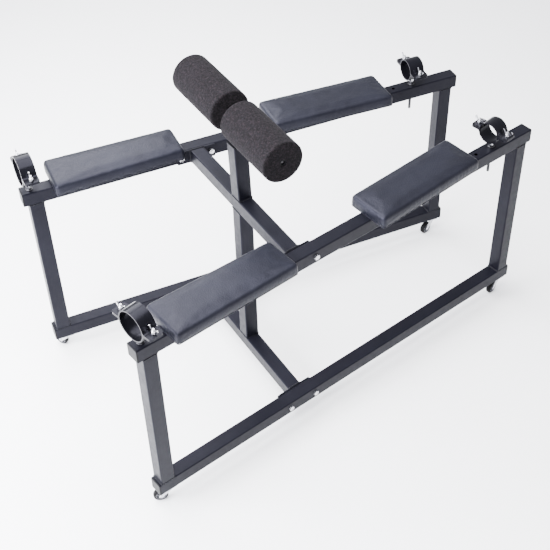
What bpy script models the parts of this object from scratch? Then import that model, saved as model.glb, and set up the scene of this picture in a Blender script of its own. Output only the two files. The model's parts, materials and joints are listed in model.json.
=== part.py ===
"""Four-armed padded bench frame on casters, with four clamp cuffs and a double foam roller.

The frame stands on the XY plane with +Z up and its origin at the bottom centre of its box.
The wide end is at -X and the narrow end at +X. "near" is the -Y side and "far" is the +Y side.
Positions along a side rail are measured from its wide end, and offsets across it are outward.
Everything is in metres.
"""

import math

import bmesh
import bpy
from mathutils import Matrix, Vector

GAP = 0.0003

# Side frames
TUBE = 0.050
WALL = 0.0025
TUBE_CORNER = 0.004
RAIL_LENGTH = 1.642
BOTTOM_RAIL_SHORTER = 0.016
WIDE_HALF = 0.414
NARROW_HALF = 0.205
BOTTOM_RAIL_Z = 0.067
TOP_RAIL_TOP = 0.750
POST_INSET = 0.044
CENTRE_SHIFT = 0.0039

# Crossbars and centre post
CROSSBAR_S = 0.6057
FLANGE_LENGTH = 0.140
FLANGE_THICK = 0.005
FLANGE_BOLT_OFFSET = 0.055
FLANGE_HOLE_R = 0.0055
DRAIN_HOLE_R = 0.009
POST_LEAN = math.radians(1.8)
UPPER_POST_LENGTH = 0.213
POST_CAP_THICK = 0.004
ROLLER_HEIGHT = 0.3177

# Flange bolts
BOLT_R = 0.005
BOLT_HEAD_FLATS = 0.017
BOLT_HEAD_THICK = 0.0064
BOLT_NUT_THICK = 0.008
BOLT_TAIL = 0.003

# Foam rollers
FOAM_R = 0.0685
FOAM_LENGTH = 0.258
FOAM_GAP_HALF = 0.026
FOAM_EDGE = 0.008
AXLE_R = 0.0125
AXLE_WALL = 0.002
AXLE_SHORTER = 0.006

# Cushions: (start, end, width at start, width at end, offset at start, offset at end)
WIDE_CUSHION = (0.103, 0.556, 0.166, 0.146, 0.000, 0.000)
NARROW_CUSHION = (0.885, 1.338, 0.161, 0.161, 0.006, -0.016)
BOARD_THICK = 0.012
BOARD_INSET = 0.006
CUSHION_THICK = 0.031
CUSHION_CORNER = 0.009
CUSHION_EDGE = 0.008

# Clamp cuffs: (stem position, ring radius, ring height above the rail, bolt offset, turn)
CUFFS = {
    "near_wide": (0.032, 0.052, 0.080, 0.070, 6.5),
    "far_wide": (0.032, 0.052, 0.080, 0.070, 3.0),
    "near_narrow": (1.461, 0.039, 0.066, 0.057, 6.0),
    "far_narrow": (1.461, 0.039, 0.066, 0.057, 0.0),
}
CUFF_WIDTHS = {"wide": 0.050, "narrow": 0.055}
CUFF_WALL = 0.004
CUFF_LUG_THICK = 0.004
CUFF_LUG_PAST_BOLT = 0.016
CUFF_LUG_CORNER = 0.010
CUFF_FILLET = 0.006
STEM_R = 0.005
STEM_HOLE_R = 0.006
STEM_BELOW_RAIL = 0.055
SPARE_HOLE_S = 1.388
COLLAR_R = 0.012
COLLAR_THICK = 0.002
STEM_NUT_FLATS = 0.017
CLAMP_BOLT_R = 0.004
CLAMP_HOLE_R = 0.0046
CLAMP_HEAD_R = 0.009
CLAMP_HEAD_THICK = 0.004
CLAMP_BOLT_TOP = 0.022

# Wing nuts
WING_HUB_R = 0.008
WING_HUB_HEIGHT = 0.009
WING_SPAN_HALF = 0.020
WING_TOP = 0.022
WING_THICK = 0.0035

# Casters: pivot positions along the rail, and the way each wheel trails, in degrees from +X
WIDE_PIVOT_S = 0.053
NARROW_PIVOT_S = 1.600
CASTER_HEADINGS = {
    "near_wide": 163.0,
    "far_wide": 120.0,
    "near_narrow": 197.0,
    "far_narrow": 193.0,
}
TRAIL = 0.027
WHEEL_R = 0.025
WHEEL_WIDTH = 0.018
PLATE_SIDE = 0.046
PLATE_THICK = 0.0025
RACE_R = 0.016
RACE_THICK = 0.004
CROWN_THICK = 0.0025
CROWN_R = 0.0165
FORK_ARM = 0.0018
FORK_SLACK = 0.001
FORK_FOOT_R = 0.008
CASTER_AXLE_R = 0.003
KING_PIN_R = 0.004

# Derived frame geometry
SPLAY = math.asin((WIDE_HALF - NARROW_HALF) / RAIL_LENGTH)
RAIL_MID_Y = (WIDE_HALF + NARROW_HALF) / 2
BOTTOM_RAIL_TOP = BOTTOM_RAIL_Z + TUBE
TOP_RAIL_BOTTOM = TOP_RAIL_TOP - TUBE
SIDES = {"near": -1, "far": 1}
CORNERS = [(side, end) for side in SIDES for end in ("wide", "narrow")]


# ---------------------------------------------------------------- scene and materials


def clear_scene():
    for item in list(bpy.data.objects):
        bpy.data.objects.remove(item, do_unlink=True)


def make_material(name, color, roughness, metallic):
    material = bpy.data.materials.new(name)
    material.use_nodes = True
    shader = material.node_tree.nodes["Principled BSDF"]
    shader.inputs["Base Color"].default_value = (*color, 1.0)
    shader.inputs["Roughness"].default_value = roughness
    shader.inputs["Metallic"].default_value = metallic
    return material


def make_materials():
    return {
        "paint": make_material("black_powder_coat", (0.020, 0.020, 0.024), 0.42, 0.2),
        "vinyl": make_material("black_vinyl", (0.022, 0.022, 0.025), 0.45, 0.0),
        "foam": make_material("black_foam", (0.030, 0.027, 0.029), 0.95, 0.0),
        "board": make_material("board", (0.045, 0.042, 0.040), 0.8, 0.0),
        "zinc": make_material("bright_zinc", (0.75, 0.75, 0.77), 0.25, 1.0),
        "plastic": make_material("black_plastic", (0.025, 0.025, 0.028), 0.5, 0.0),
        "tyre": make_material("black_tyre", (0.015, 0.015, 0.016), 0.7, 0.0),
    }


# ---------------------------------------------------------------- mesh helpers


def mesh_from(bm, name):
    bmesh.ops.recalc_face_normals(bm, faces=bm.faces)
    mesh = bpy.data.meshes.new(name)
    bm.to_mesh(mesh)
    bm.free()
    return mesh


def prism(outline, low, high, axis="Z"):
    """Extrudes a closed outline of (a, b) points along an axis, from low to high.

    The outline's two numbers run along the two axes that follow the extrusion axis: for Z
    they are X and Y, for X they are Y and Z, and for Y they are Z and X.
    """
    turn = {"Z": (0, 1, 2), "X": (1, 2, 0), "Y": (2, 0, 1)}[axis]
    bm = bmesh.new()
    rings = []
    for height in (low, high):
        ring = []
        for a, b in outline:
            point = [0.0, 0.0, 0.0]
            for slot, value in zip(turn, (a, b, height)):
                point[slot] = value
            ring.append(bm.verts.new(point))
        rings.append(ring)
    count = len(outline)
    bm.faces.new(rings[0][::-1])
    bm.faces.new(rings[1])
    for i in range(count):
        j = (i + 1) % count
        bm.faces.new((rings[0][i], rings[0][j], rings[1][j], rings[1][i]))
    return bm


def circle(radius, segments, centre=(0.0, 0.0), phase=0.0):
    points = []
    for i in range(segments):
        angle = phase + 2 * math.pi * i / segments
        points.append((centre[0] + radius * math.cos(angle), centre[1] + radius * math.sin(angle)))
    return points


def hexagon(flats, centre=(0.0, 0.0)):
    return circle(flats / math.sqrt(3), 6, centre)


def rounded_square(side, corner, steps=2):
    """A square outline with round corners; a corner of 0 leaves it sharp."""
    half = side / 2
    points = []
    for quadrant in range(4):
        start = math.pi / 2 * quadrant
        sign_x = (1, -1, -1, 1)[quadrant]
        sign_y = (1, 1, -1, -1)[quadrant]
        if corner == 0:
            points.append((sign_x * half, sign_y * half))
            continue
        for i in range(steps + 1):
            angle = start + math.pi / 2 * i / steps
            x = sign_x * (half - corner) + corner * math.cos(angle)
            y = sign_y * (half - corner) + corner * math.sin(angle)
            points.append((x, y))
    return points


def cylinder(radius, low, high, segments=16, centre=(0.0, 0.0), axis="Z"):
    return prism(circle(radius, segments, centre), low, high, axis)


def box(x_range, y_range, z_range):
    corners = [(x_range[0], y_range[0]), (x_range[1], y_range[0])]
    corners += [(x_range[1], y_range[1]), (x_range[0], y_range[1])]
    return prism(corners, *z_range)


def bevel(bm, edges, width, segments):
    bmesh.ops.bevel(bm, geom=edges, offset=width, segments=segments, profile=0.5, affect="EDGES")


def vertical_edges(bm, tolerance=1e-6):
    found = []
    for edge in bm.edges:
        step = edge.verts[1].co - edge.verts[0].co
        if abs(step.x) < tolerance and abs(step.y) < tolerance:
            found.append(edge)
    return found


def edges_at_height(bm, height, tolerance=1e-6):
    found = []
    for edge in bm.edges:
        if all(abs(vert.co.z - height) < tolerance for vert in edge.verts):
            found.append(edge)
    return found


def turned(profile, segments, axis="Z"):
    """Turns a closed (radius, height) profile about an axis into a ring."""
    bm = bmesh.new()
    rings = []
    for i in range(segments):
        angle = 2 * math.pi * i / segments
        ring = []
        for radius, height in profile:
            point = Vector((radius * math.cos(angle), radius * math.sin(angle), height))
            if axis == "Y":
                point = Vector((point.x, point.z, -point.y))
            ring.append(bm.verts.new(point))
        rings.append(ring)
    count = len(profile)
    for i in range(segments):
        near, far = rings[i], rings[(i + 1) % segments]
        for j in range(count):
            k = (j + 1) % count
            bm.faces.new((near[j], near[k], far[k], far[j]))
    return bm


def evaluated_copy(item):
    graph = bpy.context.evaluated_depsgraph_get()
    return bpy.data.meshes.new_from_object(item.evaluated_get(graph))


def combine(mesh, steps):
    """Applies Boolean steps of (operation, bmesh) to a mesh in turn and returns the result."""
    body = bpy.data.objects.new("work_body", mesh)
    bpy.context.collection.objects.link(body)
    for operation, tool_bm in steps:
        tool = bpy.data.objects.new("work_tool", mesh_from(tool_bm, "work_tool"))
        bpy.context.collection.objects.link(tool)
        modifier = body.modifiers.new("combine", "BOOLEAN")
        modifier.operation = operation
        modifier.solver = "EXACT"
        modifier.object = tool
        body.data = evaluated_copy(body)
        body.modifiers.clear()
        bpy.data.objects.remove(tool, do_unlink=True)
    result = body.data
    bpy.data.objects.remove(body, do_unlink=True)
    return result


def add_part(name, mesh, material, location, turn=0.0, smooth=None):
    """Places a named part at a location, turned about Z by an angle in radians."""
    item = bpy.data.objects.new(name, mesh)
    bpy.context.collection.objects.link(item)
    item.location = location
    item.rotation_euler = (0.0, 0.0, turn)
    if not mesh.materials:
        mesh.materials.append(material)
    if smooth is not None:
        mesh.shade_smooth()
        mesh.set_sharp_from_angle(angle=math.radians(smooth))
    return item


# ---------------------------------------------------------------- places on the rails


def rail_turn(side):
    return -SIDES[side] * SPLAY


def rail_point(side, along, outward=0.0, height=0.0):
    """A point given by its distance along a side rail, its outward offset and its height."""
    sign = SIDES[side]
    x = (along - RAIL_LENGTH / 2) * math.cos(SPLAY) + outward * math.sin(SPLAY) + CENTRE_SHIFT
    y = RAIL_MID_Y - (along - RAIL_LENGTH / 2) * math.sin(SPLAY) + outward * math.cos(SPLAY)
    return Vector((x, sign * y, height))


CROSSBAR_X = rail_point("far", CROSSBAR_S).x


# ---------------------------------------------------------------- frame


def hollow_bar(length, axis, corner=TUBE_CORNER):
    """A square tube open at both ends, centred on the origin along the given axis."""
    bar = mesh_from(prism(rounded_square(TUBE, corner), -length / 2, length / 2, axis), "tube")
    inside = rounded_square(TUBE - 2 * WALL, 0)
    return combine(bar, [("DIFFERENCE", prism(inside, -length, length, axis))])


def side_holes(along, radius):
    """A drill that passes sideways through a rail at a distance along it."""
    x = along - RAIL_LENGTH / 2
    return cylinder(radius, -TUBE, TUBE, 10, (0.0, x), "Y")


def upright_hole(along, radius):
    """A drill that passes down through a rail at a distance along it."""
    return cylinder(radius, -TUBE, TUBE, 12, (along - RAIL_LENGTH / 2, 0.0))


def build_rails(materials):
    flange_drills = []
    for offset in (-FLANGE_BOLT_OFFSET, FLANGE_BOLT_OFFSET):
        flange_drills.append(CROSSBAR_S + offset)
    stem_places = sorted({cuff[0] for cuff in CUFFS.values()} | {SPARE_HOLE_S})
    steps = [("DIFFERENCE", side_holes(along, FLANGE_HOLE_R)) for along in flange_drills]
    steps += [("DIFFERENCE", upright_hole(along, STEM_HOLE_R)) for along in stem_places]
    top_mesh = combine(hollow_bar(RAIL_LENGTH, "X"), steps)
    steps = [("DIFFERENCE", side_holes(along, FLANGE_HOLE_R)) for along in flange_drills]
    bottom_mesh = combine(hollow_bar(RAIL_LENGTH - BOTTOM_RAIL_SHORTER, "X"), steps)
    for side in SIDES:
        middle = rail_point(side, RAIL_LENGTH / 2)
        for level, mesh, low in (
            ("top", top_mesh, TOP_RAIL_BOTTOM),
            ("bottom", bottom_mesh, BOTTOM_RAIL_Z),
        ):
            place = middle + Vector((0, 0, low + TUBE / 2))
            add_part(f"{side}_{level}_rail", mesh, materials["paint"], place, rail_turn(side), 40)


def build_posts(materials):
    height = TOP_RAIL_BOTTOM - BOTTOM_RAIL_TOP - 2 * GAP
    mesh = hollow_bar(height, "Z")
    middle = (TOP_RAIL_BOTTOM + BOTTOM_RAIL_TOP) / 2
    for side, end in CORNERS:
        along = POST_INSET if end == "wide" else RAIL_LENGTH - POST_INSET
        place = rail_point(side, along, 0.0, middle)
        add_part(f"{side}_{end}_post", mesh, materials["paint"], place, rail_turn(side), 40)


def flange(side):
    """One end plate of a crossbar, drawn where it stands on the inner face of its rail."""
    half = FLANGE_LENGTH / 2
    bm = box((-half, half), (0.0, FLANGE_THICK), (-TUBE / 2, TUBE / 2))
    sign = SIDES[side]
    corner = rail_point(side, CROSSBAR_S, -(TUBE / 2 + GAP + FLANGE_THICK))
    turn = rail_turn(side) if sign > 0 else rail_turn(side) + math.pi
    place = Matrix.Translation(corner) @ Matrix.Rotation(turn, 4, "Z")
    bm.transform(Matrix.Translation((-CROSSBAR_X, 0, 0)) @ place)
    return bm


def flange_drill(side, offset):
    """A drill through an end plate, square to its rail."""
    bm = cylinder(FLANGE_HOLE_R, -TUBE, TUBE, 10, (0.0, 0.0), "Y")
    centre = rail_point(side, CROSSBAR_S + offset, -TUBE / 2)
    place = Matrix.Translation(centre) @ Matrix.Rotation(rail_turn(side), 4, "Z")
    bm.transform(Matrix.Translation((-CROSSBAR_X, 0, 0)) @ place)
    return bm


def beyond_flange(side):
    """A block that takes away whatever reaches past the outer face of an end plate."""
    bm = box((-FLANGE_LENGTH, FLANGE_LENGTH), (0.0, TUBE), (-TUBE, TUBE))
    corner = rail_point(side, CROSSBAR_S, -(TUBE / 2 + GAP + FLANGE_THICK / 2))
    turn = rail_turn(side) if SIDES[side] > 0 else rail_turn(side) + math.pi
    place = Matrix.Translation(corner) @ Matrix.Rotation(turn, 4, "Z")
    bm.transform(Matrix.Translation((-CROSSBAR_X, 0, 0)) @ place)
    return bm


def crossbar_mesh(drains):
    """A crossbar with its two end plates; drains are the tool heights of its drain holes."""
    span = 2 * rail_point("far", CROSSBAR_S).y
    steps = [("DIFFERENCE", beyond_flange(side)) for side in SIDES]
    steps += [("UNION", flange(side)) for side in SIDES]
    for side in SIDES:
        for offset in (-FLANGE_BOLT_OFFSET, FLANGE_BOLT_OFFSET):
            steps.append(("DIFFERENCE", flange_drill(side, offset)))
    steps.append(("DIFFERENCE", cylinder(DRAIN_HOLE_R, *drains, 12)))
    return combine(hollow_bar(span, "Y"), steps)


def build_crossbars(materials):
    centre = (CROSSBAR_X, 0.0)
    upper = crossbar_mesh((-TUBE, TUBE))
    lower = crossbar_mesh((0.0, TUBE))
    place = (*centre, TOP_RAIL_BOTTOM + TUBE / 2)
    add_part("upper_crossbar", upper, materials["paint"], place, 0.0, 40)
    place = (*centre, BOTTOM_RAIL_Z + TUBE / 2)
    add_part("lower_crossbar", lower, materials["paint"], place, 0.0, 40)


def lean_matrix():
    """The upper post's own frame: it starts on the upper crossbar and leans to -X."""
    base = Vector((CROSSBAR_X, 0.0, TOP_RAIL_TOP))
    return Matrix.Translation(base) @ Matrix.Rotation(-POST_LEAN, 4, "Y")


def build_centre_posts(materials):
    height = TOP_RAIL_BOTTOM - BOTTOM_RAIL_TOP - 2 * GAP
    place = (CROSSBAR_X, 0.0, (TOP_RAIL_BOTTOM + BOTTOM_RAIL_TOP) / 2)
    add_part("lower_centre_post", hollow_bar(height, "Z"), materials["paint"], place, 0.0, 40)

    mesh = hollow_bar(2 * UPPER_POST_LENGTH, "Z")
    lean = lean_matrix()
    mesh.transform(lean)
    below = box((-1, 1), (-1, 1), (-1, TOP_RAIL_TOP + GAP))
    above = box((-TUBE, TUBE), (-TUBE, TUBE), (UPPER_POST_LENGTH, 3 * UPPER_POST_LENGTH))
    above.transform(lean)
    mesh = combine(mesh, [("DIFFERENCE", below), ("DIFFERENCE", above)])
    add_part("upper_centre_post", mesh, materials["paint"], (0, 0, 0), 0.0, 40)

    low = UPPER_POST_LENGTH + GAP
    cap = mesh_from(prism(rounded_square(TUBE, TUBE_CORNER), low, low + POST_CAP_THICK), "cap")
    cap = combine(cap, [("DIFFERENCE", cylinder(AXLE_R + GAP, 0.0, 2 * low))])
    cap.transform(lean)
    add_part("centre_post_cap", cap, materials["plastic"], (0, 0, 0), 0.0, 40)


def roller_centre():
    return lean_matrix() @ Vector((0, 0, ROLLER_HEIGHT))


def build_roller(materials):
    centre = roller_centre()
    half = FOAM_GAP_HALF + FOAM_LENGTH - AXLE_SHORTER
    stem_low = UPPER_POST_LENGTH / 2 - ROLLER_HEIGHT
    steps = [
        ("UNION", cylinder(AXLE_R * 0.96, stem_low, 0.0)),
        ("DIFFERENCE", cylinder(AXLE_R - AXLE_WALL, -half - TUBE, half + TUBE, axis="Y")),
    ]
    mesh = combine(mesh_from(cylinder(AXLE_R, -half, half, axis="Y"), "tee"), steps)
    mesh.transform(lean_matrix() @ Matrix.Translation((0, 0, ROLLER_HEIGHT)))
    add_part("roller_tee", mesh, materials["paint"], (0, 0, 0), 0.0, 40)

    bore = AXLE_R + GAP
    profile = [(bore, 0.0), (FOAM_R - FOAM_EDGE, 0.0)]
    profile += [(FOAM_R - FOAM_EDGE * 0.3, FOAM_EDGE * 0.3), (FOAM_R, FOAM_EDGE)]
    profile += [(FOAM_R, FOAM_LENGTH - FOAM_EDGE)]
    profile += [(FOAM_R - FOAM_EDGE * 0.3, FOAM_LENGTH - FOAM_EDGE * 0.3)]
    profile += [(FOAM_R - FOAM_EDGE, FOAM_LENGTH), (bore, FOAM_LENGTH)]
    for side, sign in SIDES.items():
        foam = mesh_from(turned(profile, 24, "Y"), f"{side}_foam")
        if sign < 0:
            foam.transform(Matrix.Rotation(math.pi, 4, "Z"))
        foam.transform(Matrix.Translation((0, sign * FOAM_GAP_HALF, 0)))
        add_part(f"{side}_foam_roller", foam, materials["foam"], centre, 0.0, 40)


# ---------------------------------------------------------------- fasteners


def bolt_mesh():
    """A hex bolt along +Y with its nut; the rail's outer face is at Y = 0, the bolt runs to -Y."""
    grip = TUBE + 2 * GAP + FLANGE_THICK
    tail = grip + GAP + BOLT_NUT_THICK + BOLT_TAIL
    head = prism(hexagon(BOLT_HEAD_FLATS), GAP, GAP + BOLT_HEAD_THICK, "Y")
    shank = cylinder(BOLT_R, -tail, GAP + BOLT_HEAD_THICK / 2, 8, axis="Y")
    nut_range = (-grip - GAP - BOLT_NUT_THICK, -grip - GAP)
    nut = prism(hexagon(BOLT_HEAD_FLATS), *nut_range, "Y")
    return combine(mesh_from(shank, "bolt"), [("UNION", head), ("UNION", nut)])


def build_bolts(materials):
    mesh = bolt_mesh()
    levels = {"upper": TOP_RAIL_BOTTOM + TUBE / 2, "lower": BOTTOM_RAIL_Z + TUBE / 2}
    ends = {"wide": -FLANGE_BOLT_OFFSET, "narrow": FLANGE_BOLT_OFFSET}
    for side in SIDES:
        turn = rail_turn(side) if SIDES[side] > 0 else rail_turn(side) + math.pi
        for level, height in levels.items():
            for end, offset in ends.items():
                place = rail_point(side, CROSSBAR_S + offset, TUBE / 2, height)
                add_part(f"{side}_{level}_{end}_bolt", mesh, materials["zinc"], place, turn, 40)


# ---------------------------------------------------------------- cushions


def cushion_outline(side, shape, inset):
    """The plan corners of a cushion, in order round it."""
    start, end, start_width, end_width, start_offset, end_offset = shape
    corners = []
    for along, width, offset in (
        (start + inset, start_width, start_offset),
        (end - inset, end_width, end_offset),
    ):
        half = width / 2 - inset
        corners.append((rail_point(side, along, offset - half), rail_point(side, along, offset + half)))
    (a, b), (c, d) = corners
    return [a, b, d, c]


def slab(corners, low, high, corner_width, edge_width):
    """An upright slab with round plan corners and, where asked, a round upper edge."""
    centre = sum(corners, Vector()) / len(corners)
    outline = [(point.x - centre.x, point.y - centre.y) for point in corners]
    bm = prism(outline, 0.0, high - low)
    bevel(bm, vertical_edges(bm), corner_width, 3)
    if edge_width:
        bevel(bm, edges_at_height(bm, high - low), edge_width, 2)
    return bm, Vector((centre.x, centre.y, low))


def build_cushions(materials):
    for side, end in CORNERS:
        shape = WIDE_CUSHION if end == "wide" else NARROW_CUSHION
        low = TOP_RAIL_TOP + GAP
        corners = cushion_outline(side, shape, BOARD_INSET)
        bm, place = slab(corners, low, low + BOARD_THICK, CUSHION_CORNER, 0.0)
        name = f"{side}_{end}_cushion_board"
        add_part(name, mesh_from(bm, name), materials["board"], place)
        low += BOARD_THICK + GAP
        corners = cushion_outline(side, shape, 0.0)
        bm, place = slab(corners, low, low + CUSHION_THICK, CUSHION_CORNER, CUSHION_EDGE)
        name = f"{side}_{end}_cushion"
        add_part(name, mesh_from(bm, name), materials["vinyl"], place, 0.0, 40)


# ---------------------------------------------------------------- clamp cuffs


def cuff_outline(ring_r, lug_end):
    """The end view of a cuff's upper half: a half ring with a flat lug each side."""
    split = GAP / 2
    lug_top = split + CUFF_LUG_THICK
    reach = ring_r + CUFF_FILLET
    fillet_z = lug_top + CUFF_FILLET
    fillet_y = math.sqrt(reach**2 - fillet_z**2)
    rise = math.asin(fillet_z / reach)
    half = [(lug_end, split), (lug_end, lug_top)]
    fillet_steps = 2
    for i in range(fillet_steps + 1):
        angle = -math.pi / 2 - (math.pi / 2 - rise) * i / fillet_steps
        y = fillet_y + CUFF_FILLET * math.cos(angle)
        z = fillet_z + CUFF_FILLET * math.sin(angle)
        half.append((y, z))
    arch_steps = 6
    for i in range(1, arch_steps):
        angle = rise + (math.pi / 2 - rise) * i / arch_steps
        half.append((ring_r * math.cos(angle), ring_r * math.sin(angle)))
    crown = [(0.0, ring_r)]
    outer = half + crown + [(-y, z) for y, z in reversed(half)]
    bore = ring_r - CUFF_WALL
    start = math.asin(split / bore)
    bore_steps = 14
    inner = []
    for i in range(bore_steps + 1):
        angle = math.pi - start - (math.pi - 2 * start) * i / bore_steps
        inner.append((bore * math.cos(angle), bore * math.sin(angle)))
    return outer + inner


def half_cuff(ring_r, bolt_offset, width):
    """The upper half of a cuff, its bore along X and its split plane at Z = 0."""
    lug_end = bolt_offset + CUFF_LUG_PAST_BOLT
    bm = prism(cuff_outline(ring_r, lug_end), -width / 2, width / 2, "X")
    tips = []
    for edge in vertical_edges(bm):
        if abs(edge.verts[0].co.y) > lug_end - GAP:
            tips.append(edge)
    bevel(bm, tips, CUFF_LUG_CORNER, 3)
    return bm


def cuff_top_mesh(ring_r, bolt_offset, width):
    steps = []
    for sign in (-1, 1):
        hole = cylinder(CLAMP_HOLE_R, -TUBE, TUBE, 12, (0.0, sign * bolt_offset))
        steps.append(("DIFFERENCE", hole))
    return combine(mesh_from(half_cuff(ring_r, bolt_offset, width), "cuff_top"), steps)


def cuff_base_mesh(ring_r, ring_height, bolt_offset, width):
    """The lower half of a cuff with its stem, long stem nut and the two clamp bolts."""
    lower = half_cuff(ring_r, bolt_offset, width)
    lower.transform(Matrix.Rotation(math.pi, 4, "X"))
    rail_top = -ring_height
    stem_low = rail_top - TUBE - STEM_BELOW_RAIL
    ring_low = -ring_r
    nut_low = rail_top + GAP + COLLAR_THICK
    steps = [
        ("UNION", cylinder(STEM_R, stem_low, ring_low + CUFF_WALL / 2, 10)),
        ("UNION", cylinder(COLLAR_R, rail_top + GAP, nut_low + GAP)),
        ("UNION", prism(hexagon(STEM_NUT_FLATS), nut_low, ring_low + CUFF_WALL / 2)),
    ]
    lug_low = -GAP / 2 - CUFF_LUG_THICK
    for sign in (-1, 1):
        centre = (0.0, sign * bolt_offset)
        head = cylinder(CLAMP_HEAD_R, lug_low - CLAMP_HEAD_THICK, lug_low + GAP, 12, centre)
        shank = cylinder(CLAMP_BOLT_R, lug_low - GAP, CLAMP_BOLT_TOP, 8, centre)
        steps += [("UNION", head), ("UNION", shank)]
    return combine(mesh_from(lower, "cuff_base"), steps)


def wing_nut_mesh():
    """A wing nut with its foot at Z = 0, its wings along Y and its thread bore left open."""
    half = WING_THICK / 2
    wing = [
        (WING_HUB_R * 0.5, 0.002),
        (WING_HUB_R * 0.95, 0.002),
        (WING_SPAN_HALF * 0.72, WING_TOP * 0.40),
        (WING_SPAN_HALF, WING_TOP * 0.78),
        (WING_SPAN_HALF * 0.97, WING_TOP * 0.95),
        (WING_SPAN_HALF * 0.80, WING_TOP),
        (WING_SPAN_HALF * 0.62, WING_TOP * 0.80),
        (WING_HUB_R * 0.75, WING_HUB_HEIGHT),
        (WING_HUB_R * 0.5, WING_HUB_HEIGHT),
    ]
    mirrored = [(-y, z) for y, z in reversed(wing)]
    steps = [
        ("UNION", prism(wing, -half, half, "X")),
        ("UNION", prism(mirrored, -half, half, "X")),
        ("DIFFERENCE", cylinder(CLAMP_HOLE_R, -WING_TOP, 2 * WING_TOP, 12)),
    ]
    hub = bmesh.new()
    bmesh.ops.create_cone(
        hub,
        cap_ends=True,
        segments=12,
        radius1=WING_HUB_R,
        radius2=WING_HUB_R * 0.8,
        depth=WING_HUB_HEIGHT + GAP,
    )
    hub.transform(Matrix.Translation((0, 0, (WING_HUB_HEIGHT + GAP) / 2)))
    return combine(mesh_from(hub, "wing_nut"), steps)


def build_cuffs(materials):
    tops = {}
    bases = {}
    wing = wing_nut_mesh()
    for name, (along, ring_r, ring_height, bolt_offset, turn) in CUFFS.items():
        side, end = name.split("_")
        if end not in tops:
            width = CUFF_WIDTHS[end]
            tops[end] = cuff_top_mesh(ring_r, bolt_offset, width)
            bases[end] = cuff_base_mesh(ring_r, ring_height, bolt_offset, width)
        place = rail_point(side, along, 0.0, TOP_RAIL_TOP + ring_height)
        heading = rail_turn(side) + math.radians(turn)
        add_part(f"{name}_cuff_base", bases[end], materials["paint"], place, heading, 35)
        add_part(f"{name}_cuff_top", tops[end], materials["paint"], place, heading, 35)
        across = Vector((-math.sin(heading), math.cos(heading), 0.0))
        lift = Vector((0, 0, GAP / 2 + CUFF_LUG_THICK + GAP))
        for label, sign in (("outer", SIDES[side]), ("inner", -SIDES[side])):
            nut_place = place + across * sign * bolt_offset + lift
            add_part(f"{name}_{label}_wing_nut", wing, materials["zinc"], nut_place, heading, 35)


# ---------------------------------------------------------------- casters


def plate_mesh():
    """The fixed top plate of a caster with its race; its top face is at Z = 0."""
    half = PLATE_SIDE / 2
    plate = box((-half, half), (-half, half), (-PLATE_THICK, 0.0))
    bevel(plate, vertical_edges(plate), 0.006, 1)
    race = cylinder(RACE_R, -PLATE_THICK - RACE_THICK, -PLATE_THICK / 2)
    bore = cylinder(KING_PIN_R + GAP, -TUBE, TUBE, 12)
    return combine(mesh_from(plate, "plate"), [("UNION", race), ("DIFFERENCE", bore)])


def arm_outline():
    """The side view of a fork arm, from under the crown to round the axle, in X and Z."""
    top = -(PLATE_THICK + RACE_THICK + GAP + CROWN_THICK / 2)
    axle_z = WHEEL_R - BOTTOM_RAIL_Z + GAP
    points = [(-CROWN_R * 0.75, top), (-CROWN_R * 0.55, top - 0.006)]
    for i in range(6):
        angle = math.radians(205 + 205 * i / 5)
        x = TRAIL + FORK_FOOT_R * math.cos(angle)
        points.append((x, axle_z + FORK_FOOT_R * math.sin(angle)))
    points.append((CROWN_R * 0.95, top - 0.004))
    points.append((CROWN_R * 0.95, top))
    return points


def fork_mesh():
    """The swivelling fork, its pivot at X = Y = 0 and its wheel trailing towards +X."""
    top = -(PLATE_THICK + RACE_THICK + GAP)
    crown = cylinder(CROWN_R, top - CROWN_THICK, top)
    pin = cylinder(KING_PIN_R, top - CROWN_THICK / 2, -GAP, 8)
    inner = WHEEL_WIDTH / 2 + FORK_SLACK
    steps = [("UNION", pin)]
    for sign in (-1, 1):
        low, high = sorted((sign * inner, sign * (inner + FORK_ARM)))
        outline = [(z, x) for x, z in arm_outline()]
        steps.append(("UNION", prism(outline, low, high, "Y")))
    axle_z = WHEEL_R - BOTTOM_RAIL_Z + GAP
    reach = inner + FORK_ARM + 0.0015
    axle = cylinder(CASTER_AXLE_R, -reach, reach, 8, (axle_z, TRAIL), "Y")
    steps.append(("UNION", axle))
    return combine(mesh_from(crown, "fork"), steps)


def wheel_mesh():
    half = WHEEL_WIDTH / 2
    bore = CASTER_AXLE_R + GAP
    profile = [(bore, -half), (WHEEL_R * 0.60, -half), (WHEEL_R * 0.66, -half * 0.75)]
    profile += [(WHEEL_R * 0.88, -half * 0.88), (WHEEL_R, -half * 0.55)]
    profile += [(radius, -height) for radius, height in reversed(profile)]
    return mesh_from(turned(profile, 16, "Y"), "wheel")


def build_casters(materials):
    plate = plate_mesh()
    fork = fork_mesh()
    wheel = wheel_mesh()
    for side, end in CORNERS:
        name = f"{side}_{end}_caster"
        along = WIDE_PIVOT_S if end == "wide" else NARROW_PIVOT_S
        pivot = rail_point(side, along, 0.0, BOTTOM_RAIL_Z - GAP)
        heading = math.radians(CASTER_HEADINGS[f"{side}_{end}"])
        add_part(f"{name}_plate", plate, materials["zinc"], pivot, rail_turn(side), 40)
        add_part(f"{name}_fork", fork, materials["zinc"], pivot, heading, 40)
        trail = Vector((math.cos(heading), math.sin(heading), 0.0)) * TRAIL
        place = Vector((pivot.x, pivot.y, WHEEL_R)) + trail
        add_part(f"{name}_wheel", wheel, materials["tyre"], place, heading, 40)


def main():
    clear_scene()
    materials = make_materials()
    build_rails(materials)
    build_posts(materials)
    build_crossbars(materials)
    build_centre_posts(materials)
    build_roller(materials)
    build_bolts(materials)
    build_cushions(materials)
    build_cuffs(materials)
    build_casters(materials)


main()
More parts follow.
